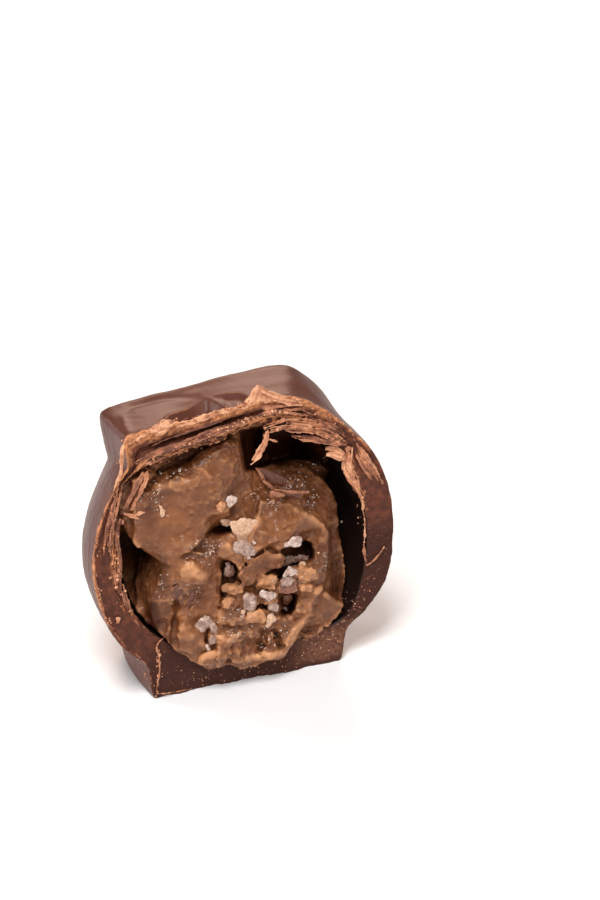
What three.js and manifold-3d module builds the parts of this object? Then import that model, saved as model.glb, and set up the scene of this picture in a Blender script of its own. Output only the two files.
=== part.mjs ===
// Half of a moulded chocolate truffle, cut open from top to bottom and standing on its own foot:
// a thick chocolate shell, and the soft filling that has shrunk from its wall and sags over its lower rim.
//
// Millimetres, +Z up. X runs along the cut face, which looks towards -Y.
// The origin is the centre of the flat foot. Shapes are worked out as rings round HEART, the middle of
// the cut face: a turn is an angle in the cut face, from +X towards +Z, and a lean is the angle from
// the cut face (0) to straight back (90 degrees).

import * as THREE from 'three';
import { mergeVertices } from 'three/addons/utils/BufferGeometryUtils.js';
import Module from 'manifold-3d';

const wasm = await Module();
wasm.setup();

// ---- Driving dimensions ------------------------------------------------------------------------

const CUT_Y = -6.7;
const HEART = new THREE.Vector3(-0.4, CUT_Y, 19.0);

const BALL_RADIUS = 18.3;
const BALL_SETBACK = 1.8;
const WALL = 3.1;

const PAD_SHARPNESS = 16;
const PAD_NECK = 0.7;
const CROWN_ROUNDING = 1.2;
const FOOT_SHARPNESS = 9;
const FOOT_NECK = 1.6;
const FOOT_DEPTH = 13.4;

const FIT_GAP = 0.35;

const RING_TURNS = 100;
const SHELL_OUTER_ROWS = 16;
const SHELL_INNER_ROWS = 9;
const FILLING_TURNS = 76;
const FILLING_FRONT_ROWS = 15;
const FILLING_BACK_ROWS = 7;

// Walls that bound the top pad and the foot: which way each faces, and how far it is from HEART.
const PAD_WALLS = [
  { faces: [-0.98, -0.1, -0.19], distance: 10.9 },
  { faces: [0, 1, 0], distance: 8.1 },
  { faces: [0.5, -0.25, 0.83], distance: 17.6 },
  { faces: [0.8, -0.1, 0.59], distance: 18.2 },
  { faces: [0.97, 0, 0.24], distance: 16.3 },
  { faces: [-0.1, 0, 1], distance: 18.4 },
  { faces: [0, 0, -1], distance: 1 },
];
const CROWN_WALL = [{ faces: [-0.1, 0, 1], distance: 17.3 }];
const FOOT_WALLS = [
  { faces: [-0.96, -0.28, 0], distance: 11.7 },
  { faces: [-0.98, 0.15, 0], distance: 13.7 },
  { faces: [1, 0, 0], distance: 12.8 },
  { faces: [0, 1, 0], distance: FOOT_DEPTH },
  { faces: [0, 0, -1], distance: 21 },
  { faces: [0, 0, 1], distance: 1 },
];

// Broad swells and hollows of the ball: the middle of each, how wide it spreads, how far it rises.
const BALL_SWELLS = [
  { towards: [0.85, 0, -0.53], spread: 24, rise: 1.8 },
  { towards: [0.60, 0, 0.80], spread: 22, rise: -0.9 },
  { towards: [-0.78, 0.51, 0.36], spread: 22, rise: -1.2 },
  { towards: [-0.20, 0.49, 0.85], spread: 18, rise: -1.0 },
  { towards: [-0.79, -0.15, -0.60], spread: 12, rise: 0.7 },
];
const PAD_DISH = [{ towards: [-0.28, 0.13, 0.95], spread: 8, rise: -0.7 }];
const CAVITY_SWELLS = [
  { towards: [-0.83, 0, 0.56], spread: 14, rise: 2.4 },
  { towards: [-0.22, 0, 0.97], spread: 20, rise: -1.5 },
  { towards: [0.80, 0, -0.60], spread: 22, rise: 2.0 },
  { towards: [0.93, 0, 0.36], spread: 12, rise: -1.1 },
  { towards: [0.66, 0, -0.75], spread: 13, rise: 1.5 },
];

// ---- Small maths ---------------------------------------------------------------------------------

const radians = (degrees) => (degrees * Math.PI) / 180;
const mix = (a, b, t) => a + (b - a) * t;

function easeStep(low, high, value) {
  const t = Math.min(1, Math.max(0, (value - low) / (high - low)));
  return t * t * (3 - 2 * t);
}

function softMax(a, b, width) {
  const near = Math.max(0, width - Math.abs(a - b)) / width;
  return Math.max(a, b) + (near * near * width) / 4;
}

const softMin = (a, b, width) => -softMax(-a, -b, width);

// A bell that is 1 at the middle and fades within the spread, for angles in degrees.
function bell(angle, middle, spread) {
  const away = (((angle - middle + 540) % 360) - 180) / spread;
  return Math.exp(-away * away);
}

// A steady uneven wave between -1 and 1, the same on every run.
function ripple(angle, seed) {
  const t = radians(angle);
  const waves = [7, 13, 22, 31];
  const sum = waves.reduce((total, count, index) => {
    const phase = seed * (1.7 + index * 0.9);
    return total + Math.sin(count * t + phase) / (1 + index * 0.4);
  }, 0);
  return sum / 2.2;
}

function direction(turn, lean) {
  const t = radians(turn);
  const l = radians(lean);
  return new THREE.Vector3(Math.cos(t) * Math.cos(l), Math.sin(l), Math.sin(t) * Math.cos(l));
}

// ---- How far the surfaces reach from HEART -------------------------------------------------------

function ballReach(way, radius) {
  const along = way.y * BALL_SETBACK;
  return along + Math.sqrt(along * along + radius * radius - BALL_SETBACK * BALL_SETBACK);
}

function blockReach(way, walls, sharpness) {
  let sum = 0;
  for (const wall of walls) {
    const facing = way.dot(new THREE.Vector3(...wall.faces).normalize());
    sum += Math.pow(Math.max(0, facing) / wall.distance, sharpness);
  }
  return Math.pow(sum, -1 / sharpness);
}

function swell(way, swells) {
  let rise = 0;
  for (const { towards, spread, rise: height } of swells) {
    const middle = new THREE.Vector3(...towards).normalize();
    const away = THREE.MathUtils.radToDeg(way.angleTo(middle)) / spread;
    rise += height * Math.exp(-away * away);
  }
  return rise;
}

function outerReach(turn, lean) {
  const way = direction(turn, lean);
  const ball = ballReach(way, BALL_RADIUS) + swell(way, BALL_SWELLS);
  const padded = softMax(ball, blockReach(way, PAD_WALLS, PAD_SHARPNESS), PAD_NECK);
  const footed = softMax(padded, blockReach(way, FOOT_WALLS, FOOT_SHARPNESS), FOOT_NECK);
  const crown = way.z > 0.1 ? blockReach(way, CROWN_WALL, 1) : Infinity;
  const crowned = crown < footed * 2 ? softMin(footed, crown, CROWN_ROUNDING) : footed;
  return crowned + swell(way, PAD_DISH);
}

function cavityReach(turn, lean) {
  const way = direction(turn, lean);
  return ballReach(way, BALL_RADIUS - WALL) + swell(way, CAVITY_SWELLS);
}

// The cavity's radius in a slice that lies a depth behind the cut face.
function cavityRadius(turn, depth) {
  let lean = 0;
  for (let pass = 0; pass < 4; pass += 1) {
    lean = THREE.MathUtils.radToDeg(Math.asin(Math.max(0, depth) / cavityReach(turn, lean)));
  }
  return cavityReach(turn, lean) * Math.cos(radians(lean));
}

// ---- Rings to solids -----------------------------------------------------------------------------

function ringPoint(turn, radius, y) {
  const t = radians(turn);
  return [HEART.x + radius * Math.cos(t), y, HEART.z + radius * Math.sin(t)];
}

const reachPoint = (turn, lean, reach) => direction(turn, lean).multiplyScalar(reach).add(HEART).toArray();

// Skins a closed body from a first pole, rows of ring points and a last pole.
function skinRings(firstPole, rows, lastPole) {
  const count = rows[0].length;
  const positions = [...firstPole, ...rows.flat(2), ...lastPole];
  const last = 1 + rows.length * count;
  const at = (row, step) => 1 + row * count + (step % count);
  const faces = [];
  for (let step = 0; step < count; step += 1) {
    faces.push(0, at(0, step + 1), at(0, step));
    for (let row = 0; row + 1 < rows.length; row += 1) {
      faces.push(at(row, step), at(row + 1, step + 1), at(row + 1, step));
      faces.push(at(row, step), at(row, step + 1), at(row + 1, step + 1));
    }
    faces.push(last, at(rows.length - 1, step), at(rows.length - 1, step + 1));
  }
  const geometry = new THREE.BufferGeometry();
  geometry.setAttribute('position', new THREE.Float32BufferAttribute(positions, 3));
  geometry.setIndex(faces);
  return geometry;
}

function toSolid(geometry) {
  const bare = geometry.clone();
  bare.deleteAttribute('normal');
  bare.deleteAttribute('uv');
  const merged = mergeVertices(bare, 1e-4);
  const vertProperties = new Float32Array(merged.attributes.position.array);
  const triVerts = new Uint32Array(merged.index.array);
  return new wasm.Manifold(new wasm.Mesh({ numProp: 3, vertProperties, triVerts }));
}

function toGeometry(solid) {
  const mesh = solid.getMesh();
  const geometry = new THREE.BufferGeometry();
  geometry.setAttribute('position', new THREE.Float32BufferAttribute(mesh.vertProperties, 3));
  geometry.setIndex(Array.from(mesh.triVerts));
  geometry.computeVertexNormals();
  return geometry;
}

function lump(place, radii, tilt = 0, sides = 9) {
  const geometry = new THREE.SphereGeometry(1, sides, Math.max(4, sides - 3));
  geometry.scale(...radii);
  geometry.rotateY(radians(-tilt));
  geometry.translate(HEART.x + place[0], CUT_Y - place[1], HEART.z + place[2]);
  return toSolid(geometry);
}

// ---- Shell ---------------------------------------------------------------------------------------

// Rows across the cut rim: how far across the wall, how far it stands forward where the layers of
// chocolate have split, and how far where it is cut clean.
const RIM_ROWS = [
  { across: 0.10, layered: 0.45, clean: 0.05 },
  { across: 0.34, layered: 0.15, clean: 0.0 },
  { across: 0.56, layered: -0.9, clean: -0.05 },
  { across: 0.78, layered: 0.2, clean: 0.0 },
];
const LAYERED_TURN = 95;
const LAYERED_SPREAD = 62;
const RIM_ROUGHNESS = 0.22;

// Shavings that the knife left on the rim: both ends and the middle as [right, forward, up] from
// HEART, then width and thickness.
const SHAVINGS = [
  { path: [[2.4, 0.2, 13.9], [7.0, 0.5, 12.9], [13.3, 0.2, 9.4]], width: 1.7, thickness: 0.8 },
  { path: [[5.6, 0.9, 12.5], [9.6, 1.1, 11.0], [14.0, 0.3, 8.0]], width: 0.7, thickness: 0.5 },
  { path: [[3.6, 0.2, 14.6], [1.6, 0.9, 13.2], [-0.6, 0.9, 10.4]], width: 0.6, thickness: 0.5 },
  { path: [[13.6, 0.1, 9.4], [12.9, 0.6, 7.2], [14.3, 0.1, 4.4]], width: 1.3, thickness: 0.6 },
  { path: [[-15.6, 0.3, 6.2], [-12.9, 1.2, 8.8], [-11.4, 0.6, 12.6]], width: 0.8, thickness: 0.5 },
  { path: [[15.2, -0.1, 9.6], [15.9, 0.5, 6.2], [17.2, -0.1, 2.6]], width: 1.2, thickness: 0.7 },
];
const SHAVING_STEPS = 6;

const CURL = { place: [2.7, -0.4, 17.7], radii: [2.4, 0.8, 1.8], tilt: -24 };

function rimForward(turn, row) {
  const layers = bell(turn, LAYERED_TURN, LAYERED_SPREAD);
  const rough = RIM_ROUGHNESS * ripple(turn, row.across * 9 + 1);
  return mix(row.clean, row.layered, layers) - Math.abs(rough) * 0.6 + rough * layers;
}

function shaving({ path, width, thickness }) {
  const points = path.map(([right, forward, up]) =>
    new THREE.Vector3(HEART.x + right, CUT_Y - forward, HEART.z + up));
  const curve = new THREE.CatmullRomCurve3(points);
  const section = new THREE.Shape();
  section.moveTo(-width / 2, -thickness / 2);
  section.lineTo(width / 2, -thickness / 3);
  section.lineTo(width / 3, thickness / 2);
  section.lineTo(-width / 2, thickness / 3);
  section.closePath();
  const settings = { steps: SHAVING_STEPS, bevelEnabled: false, extrudePath: curve };
  return toSolid(new THREE.ExtrudeGeometry(section, settings));
}

function shellRows() {
  const turns = Array.from({ length: RING_TURNS }, (_, step) => (step * 360) / RING_TURNS);
  const rows = [];
  for (let row = SHELL_OUTER_ROWS - 1; row >= 0; row -= 1) {
    const lean = 90 * Math.pow(row / SHELL_OUTER_ROWS, 1.08);
    rows.push(turns.map((turn) => reachPoint(turn, lean, outerReach(turn, lean))));
  }
  for (const row of RIM_ROWS) {
    rows.push(turns.map((turn) => {
      const radius = mix(outerReach(turn, 0), cavityReach(turn, 0), row.across);
      return ringPoint(turn, radius, CUT_Y - rimForward(turn, row));
    }));
  }
  for (let row = 0; row < SHELL_INNER_ROWS; row += 1) {
    const lean = 90 * (row / SHELL_INNER_ROWS);
    rows.push(turns.map((turn) => reachPoint(turn, lean, cavityReach(turn, lean))));
  }
  return rows;
}

function buildShell() {
  const back = reachPoint(0, 90, outerReach(0, 90));
  const hollowBack = reachPoint(0, 90, cavityReach(0, 90));
  let shell = toSolid(skinRings(back, shellRows(), hollowBack));
  for (const item of SHAVINGS) {
    shell = shell.add(shaving(item));
  }
  shell = shell.add(lump(CURL.place, CURL.radii, CURL.tilt));
  const belowFoot = new THREE.BoxGeometry(80, 80, 20);
  belowFoot.translate(0, 0, -10);
  return shell.subtract(toSolid(belowFoot));
}

// ---- Filling -------------------------------------------------------------------------------------

// Where the filling has drawn back from the wall: the turn, its spread, how wide the space is at the
// front and how far back it runs.
const SHRINK_SPACES = [
  { turn: 192, spread: 20, width: 5.0, depth: 8.0 },
  { turn: 350, spread: 34, width: 2.2, depth: 8.5 },
  { turn: 50, spread: 24, width: 6.4, depth: 7.0 },
  { turn: 118, spread: 24, width: 1.2, depth: 2.0 },
];
const SAG = { turn: 264, spread: 34, reach: 16.6, unevenness: 0.4, forward: 1.5 };

// Broad forms of the filling's face: the middle as [right, up] from HEART, how wide each spreads and
// how far it stands forward.
const FACE_FORMS = [
  { middle: [-6.0, 6.5], spread: 7.5, forward: 1.6 },
  { middle: [-3.0, 11.0], spread: 3.6, forward: 0.9 },
  { middle: [8.5, 6.0], spread: 6.2, forward: -3.6 },
  { middle: [5.0, 11.0], spread: 4.5, forward: -2.6 },
  { middle: [7.8, 4.2], spread: 3.0, forward: 1.1 },
  { middle: [1.5, -3.0], spread: 7.5, forward: 2.4 },
  { middle: [5.6, 0.6], spread: 3.2, forward: 1.4 },
  { middle: [-7.0, -2.0], spread: 3.5, forward: 0.9 },
  { middle: [1.0, -13.0], spread: 6.5, forward: 1.3 },
  { middle: [-3.2, 2.6], spread: 1.5, forward: -1.6 },
  { middle: [7.4, -2.4], spread: 1.6, forward: -2.0 },
  { middle: [5.4, -9.4], spread: 1.5, forward: -1.8 },
  { middle: [-2.6, -3.2], spread: 1.6, forward: -1.2 },
  { middle: [2.8, -13.2], spread: 1.3, forward: -1.6 },
];
const FACE_REST = -0.9;

// Crisps, crystals and flakes of chocolate stuck in the face: [right, up] from HEART, how far forward,
// their half sizes and their tilt.
const INCLUSIONS = [
  { at: [-0.8, 2.4], forward: 0.2, radii: [1.7, 0.9, 1.2], tilt: -25 },
  { at: [-2.9, 3.0], forward: 0.2, radii: [0.9, 0.7, 0.6], tilt: 10 },
  { at: [-2.1, 5.6], forward: 0.1, radii: [0.9, 0.6, 0.8], tilt: 30 },
  { at: [-10.2, 5.8], forward: 0.3, radii: [0.5, 0.5, 1.2], tilt: 12 },
  { at: [3.4, 4.9], forward: 0.4, radii: [0.6, 0.7, 2.2], tilt: 34 },
  { at: [6.4, 3.6], forward: 0.5, radii: [2.4, 0.8, 0.5], tilt: -8 },
  { at: [-0.5, -0.4], forward: 0.3, radii: [1.4, 0.8, 1.0], tilt: 0 },
  { at: [5.1, -0.7], forward: 0.4, radii: [1.4, 0.7, 0.7], tilt: 8 },
  { at: [3.2, -1.6], forward: 0.7, radii: [2.4, 0.8, 0.7], tilt: 12 },
  { at: [2.6, -4.6], forward: 0.6, radii: [2.0, 0.8, 0.9], tilt: 14 },
  { at: [5.6, -4.5], forward: 0.5, radii: [1.3, 0.8, 0.8], tilt: 28 },
  { at: [-0.2, -7.0], forward: 0.4, radii: [1.3, 0.8, 1.0], tilt: 0 },
  { at: [1.8, -7.1], forward: 0.5, radii: [1.2, 0.8, 0.9], tilt: 10 },
  { at: [-3.0, -6.9], forward: 0.4, radii: [1.0, 0.7, 0.9], tilt: 0 },
  { at: [-6.9, -2.6], forward: 0.3, radii: [1.9, 0.8, 1.6], tilt: -30 },
  { at: [-8.2, -5.5], forward: 0.2, radii: [1.5, 0.7, 1.3], tilt: 0 },
  { at: [-5.6, -9.2], forward: 0.3, radii: [1.0, 0.7, 1.5], tilt: -18 },
  { at: [2.2, -10.3], forward: 0.4, radii: [1.0, 0.6, 1.1], tilt: -30 },
];

// The space that is left between the filling and the wall at a turn: its width and its depth.
function shrinkSpace(turn) {
  let width = FIT_GAP;
  let depth = 1.2;
  for (const space of SHRINK_SPACES) {
    const share = bell(turn, space.turn, space.spread);
    width += space.width * share;
    depth += space.depth * share;
  }
  return { width, depth };
}

function faceForward(right, up) {
  let forward = FACE_REST;
  for (const form of FACE_FORMS) {
    const away = Math.hypot(right - form.middle[0], up - form.middle[1]) / form.spread;
    forward += form.forward * Math.exp(-away * away);
  }
  return forward;
}

// One profile of the filling's face and sides at a turn, from the middle of the face outwards and back
// to where it meets the wall. Where it sags, it passes in front of the rim.
function fillingProfile(turn) {
  const space = shrinkSpace(turn);
  const sag = easeStep(0.25, 0.75, bell(turn, SAG.turn, SAG.spread));
  const mouth = cavityReach(turn, 0) - FIT_GAP;
  const edge = mix(mouth + FIT_GAP - space.width, SAG.reach + SAG.unevenness * ripple(turn, 3), sag);
  const points = [];
  for (let row = 1; row <= FILLING_FRONT_ROWS; row += 1) {
    const across = row / FILLING_FRONT_ROWS;
    const radius = edge * Math.pow(across, 0.85) * 0.97;
    const t = radians(turn);
    const open = faceForward(radius * Math.cos(t), radius * Math.sin(t));
    const share = easeStep(0, 0.12, sag) * easeStep(0.55, 0.85, across);
    const rounding = 0.5 * easeStep(0.8, 1, across);
    points.push([radius, CUT_Y - mix(open, Math.max(open, SAG.forward), share) + rounding]);
  }
  const [, faceY] = points[points.length - 1];
  if (edge > mouth) {
    const behind = CUT_Y - FIT_GAP - 0.15;
    points.push([edge, Math.min(behind - 0.3, faceY + 0.5)], [edge - 0.35, behind], [mouth - 0.15, behind]);
    return { points, neckLean: 2 };
  }
  const depth = mix(space.depth, 0.6, sag);
  for (const back of [0.15, 0.45, 0.8]) {
    const y = mix(faceY, CUT_Y + depth, back);
    const room = cavityRadius(turn, y - CUT_Y) - FIT_GAP - 0.05;
    points.push([Math.min(edge + 0.3 * back, room), y]);
  }
  return { points, neckLean: THREE.MathUtils.radToDeg(Math.asin(depth / mouth)) };
}

function fillingRows() {
  const rows = [];
  const turns = Array.from({ length: FILLING_TURNS }, (_, step) => (step * 360) / FILLING_TURNS);
  const profiles = turns.map(fillingProfile);
  for (let row = FILLING_BACK_ROWS - 1; row >= 0; row -= 1) {
    rows.push(turns.map((turn, step) => {
      const lean = mix(profiles[step].neckLean, 90, row / FILLING_BACK_ROWS);
      return reachPoint(turn, lean, cavityReach(turn, lean) - FIT_GAP);
    }));
  }
  const frontCount = profiles[0].points.length;
  for (let index = frontCount - 1; index >= 0; index -= 1) {
    rows.push(turns.map((turn, step) => ringPoint(turn, ...profiles[step].points[index])));
  }
  return rows;
}

function buildFilling() {
  const back = reachPoint(0, 90, cavityReach(0, 90) - FIT_GAP);
  const front = ringPoint(0, 0, CUT_Y - faceForward(0, 0));
  let filling = toSolid(skinRings(back, fillingRows(), front));
  for (const { at, forward, radii, tilt } of INCLUSIONS) {
    const stands = faceForward(...at) + forward;
    filling = filling.add(lump([at[0], stands, at[1]], radii, tilt, 8));
  }
  return filling;
}

// ---- The part ------------------------------------------------------------------------------------

function addPiece(group, name, solid, finish) {
  const mesh = new THREE.Mesh(toGeometry(solid), new THREE.MeshStandardMaterial(finish));
  mesh.name = name;
  group.add(mesh);
}

const truffle = new THREE.Group();
addPiece(truffle, 'shell', buildShell(), { color: 0x5a3a30, roughness: 0.45, metalness: 0 });
addPiece(truffle, 'filling', buildFilling(), { color: 0x97623c, roughness: 0.4, metalness: 0 });

export default truffle;
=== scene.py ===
"""Looks of half a moulded chocolate truffle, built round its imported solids.

Shapes are worked out in millimetres, in the frame of the solids: +X along the cut face, which looks
towards -Y, and +Z up from the foot. Each finished mesh is scaled to metres. A turn is an angle in
the cut face, from +X towards +Z, round the heart of the cut face, and a lean is the angle from the
cut face to straight back.
"""

import logging
import math
from dataclasses import dataclass
from enum import Enum
from typing import Callable, Sequence

import bmesh
import bpy
import numpy as np
from mathutils import Matrix, Vector

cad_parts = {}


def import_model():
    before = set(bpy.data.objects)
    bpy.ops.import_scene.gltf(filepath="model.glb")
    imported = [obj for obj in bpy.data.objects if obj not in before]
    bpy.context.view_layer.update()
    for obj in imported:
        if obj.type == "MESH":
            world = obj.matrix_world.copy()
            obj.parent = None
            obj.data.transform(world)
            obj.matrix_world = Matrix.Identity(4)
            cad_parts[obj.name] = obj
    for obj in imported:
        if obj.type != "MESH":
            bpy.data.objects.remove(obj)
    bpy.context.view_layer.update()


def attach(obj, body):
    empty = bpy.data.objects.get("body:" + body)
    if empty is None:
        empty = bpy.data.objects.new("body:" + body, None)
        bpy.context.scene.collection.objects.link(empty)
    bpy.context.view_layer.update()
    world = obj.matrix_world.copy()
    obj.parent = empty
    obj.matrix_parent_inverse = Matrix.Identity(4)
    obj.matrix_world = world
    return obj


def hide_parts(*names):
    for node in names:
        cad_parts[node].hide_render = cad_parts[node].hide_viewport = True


LOG = logging.getLogger("truffle")
MM = 0.001
BODY = "root"
TO_VIEWER = (-0.3207, -0.8226, 0.4695)
CAST_AHEAD = 30.0
CAST_LENGTH = 80.0

Point = tuple[float, float, float]
Pair = tuple[float, float]
Colour = tuple[float, float, float]


# ---- Maths on arrays of points -------------------------------------------------------------------


def ease(low: float, high: float, value: np.ndarray | float) -> np.ndarray:
    """Rises smoothly from 0 at low to 1 at high."""
    t = clamp((np.asarray(value, float) - low) / (high - low))
    return t * t * (3.0 - 2.0 * t)


def clamp(value: np.ndarray) -> np.ndarray:
    """Kept between 0 and 1."""
    return np.clip(value, 0.0, 1.0)


def hump(away: np.ndarray) -> np.ndarray:
    """A smooth hump: 1 at 0, and a third of that at 1."""
    return np.exp(-(away**2))


def band(across: np.ndarray, middle: np.ndarray | float, width: float) -> np.ndarray:
    """A smooth band across the rim's wall, round its middle."""
    return hump((across - middle) / width)


def bell(angle: np.ndarray | float, middle: float, spread: float) -> np.ndarray:
    """A bell over angles in degrees: 1 at the middle, fading within the spread."""
    away = ((np.asarray(angle, float) - middle + 540.0) % 360.0 - 180.0) / spread
    return hump(away)


def soft_max(a: np.ndarray, b: np.ndarray, width: float) -> np.ndarray:
    """The larger of two values, rounded over where they are within the width of each other."""
    near = np.maximum(0.0, width - np.abs(a - b)) / width
    return np.maximum(a, b) + near * near * width / 4.0


def soft_min(a: np.ndarray, b: np.ndarray, width: float) -> np.ndarray:
    """The smaller of two values, rounded over where they are within the width of each other."""
    return -soft_max(-a, -b, width)


def unit(vectors: np.ndarray) -> np.ndarray:
    """Vectors scaled to length 1."""
    return vectors / np.maximum(np.linalg.norm(vectors, axis=-1, keepdims=True), 1e-9)


def linear(red: int, green: int, blue: int) -> Colour:
    """A display colour of 0 to 255 a channel as linear light."""

    def channel(value: int) -> float:
        """One channel as linear light."""
        share = value / 255.0
        return share / 12.92 if share <= 0.04045 else ((share + 0.055) / 1.055) ** 2.4

    return channel(red), channel(green), channel(blue)


class Grain:
    """Smooth seeded noise over points in space, the same on every run."""

    PRIMES = (374761393, 668265263, 2147483647)

    @classmethod
    def _corner(cls, cell: np.ndarray, seed: int) -> np.ndarray:
        """A steady value between -1 and 1 for each lattice cell."""
        key = (cell * np.array(cls.PRIMES, np.int64)).sum(axis=-1) + seed * 1274126177
        key = (key ^ (key >> 13)) & 0xFFFFFFFF
        key = (key * 1103515245 + 12345) & 0xFFFFFFFF
        key = (key ^ (key >> 16)) & 0xFFFFFFFF
        key = (key * 2246822519) & 0xFFFFFFFF
        key = (key ^ (key >> 15)) & 0xFFFFFF
        return key / float(0x7FFFFF) - 1.0

    @classmethod
    def smooth(cls, points: np.ndarray, size: float | Point, seed: int) -> np.ndarray:
        """One layer of noise.

        Args:
            points: places in millimetres, one a row.
            size: the size of the lumps, one for all ways or one for each axis.
            seed: which noise it is.

        Returns:
            A value between about -1 and 1 for each point.
        """
        place = points / np.asarray(size, float)
        cell = np.floor(place).astype(np.int64)
        inside = place - cell
        fade = inside * inside * inside * (inside * (inside * 6.0 - 15.0) + 10.0)
        total = np.zeros(len(points))
        for corner in range(8):
            step = np.array([corner & 1, corner >> 1 & 1, corner >> 2 & 1])
            share = np.prod(np.where(step, fade, 1.0 - fade), axis=-1)
            total += share * cls._corner(cell + step, seed)
        return total

    @classmethod
    def layers(
        cls, points: np.ndarray, size: float | Point, seed: int, count: int = 3
    ) -> np.ndarray:
        """Several layers of noise, each half the size and half the height of the one before."""
        sizes = np.asarray(size, float)
        total = np.zeros(len(points))
        for layer in range(count):
            total += cls.smooth(points, sizes / 2.0**layer, seed + 17 * layer) / 2.0**layer
        return total / (2.0 - 2.0 ** (1 - count))

    @classmethod
    def ridged(
        cls, points: np.ndarray, size: float | Point, seed: int, count: int = 3
    ) -> np.ndarray:
        """Noise with sharp crests, between 0 in the flats and 1 on the crests."""
        return (1.0 - np.abs(cls.layers(points, size, seed, count)) * 2.2).clip(0.0, 1.0) ** 2


def measured(path: Sequence[Sequence[float]]) -> tuple[np.ndarray, np.ndarray, np.ndarray]:
    """A path's corners, the lengths of its lines and how far along it each corner is."""
    corners = np.asarray(path, float)
    lengths = np.linalg.norm(np.diff(corners, axis=0), axis=1)
    return corners, lengths, np.concatenate([[0.0], np.cumsum(lengths)])


def along_path(
    points: np.ndarray, path: Sequence[Sequence[float]]
) -> tuple[np.ndarray, np.ndarray]:
    """How far points are from a path of straight lines, and how far along it.

    Args:
        points: places, one a row.
        path: the path's corners.

    Returns:
        The distance to the path, and the share of its length at the nearest place.
    """
    corners, lengths, before = measured(path)
    best = np.full(len(points), np.inf)
    share = np.zeros(len(points))
    for index, length in enumerate(lengths):
        run = corners[index + 1] - corners[index]
        t = clamp(((points - corners[index]) @ run) / (length * length))
        away = np.linalg.norm(points - corners[index] - t[:, None] * run, axis=1)
        nearer = away < best
        best = np.where(nearer, away, best)
        share = np.where(nearer, (before[index] + t * length) / before[-1], share)
    return best, share


def inside_outline(
    right: np.ndarray, up: np.ndarray, outline: Sequence[Pair], ragged: float
) -> np.ndarray:
    """How far places are inside an outline, less than 0 outside, with a ragged edge.

    Args:
        right: places to the right of the heart.
        up: places above the heart.
        outline: the corners, in order.
        ragged: how far the edge wanders.

    Returns:
        The distance to the edge for each place.
    """
    flat = np.stack([right, up], axis=1)
    closed = [*outline, outline[0]]
    away, _ = along_path(flat, closed)
    inside = np.zeros(len(right), bool)
    for (x0, y0), (x1, y1) in zip(closed[:-1], closed[1:]):
        if y0 == y1:
            continue
        crosses = (up > min(y0, y1)) & (up <= max(y0, y1))
        inside ^= crosses & (right < x0 + (up - y0) * (x1 - x0) / (y1 - y0))
    place = np.stack([right, up, np.zeros(len(right))], axis=1)
    return np.where(inside, away, -away) + ragged * Grain.layers(place, 0.9, 7, 3)


# ---- The truffle's form --------------------------------------------------------------------------


@dataclass(frozen=True)
class Swell:
    """A broad swell or hollow of a surface: which way it lies, how wide it is, how far it rises."""

    towards: Point
    spread: float
    rise: float


@dataclass(frozen=True)
class Wall:
    """A flat that bounds the pad or the foot: its facing, and its distance from the heart."""

    faces: Point
    distance: float


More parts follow.
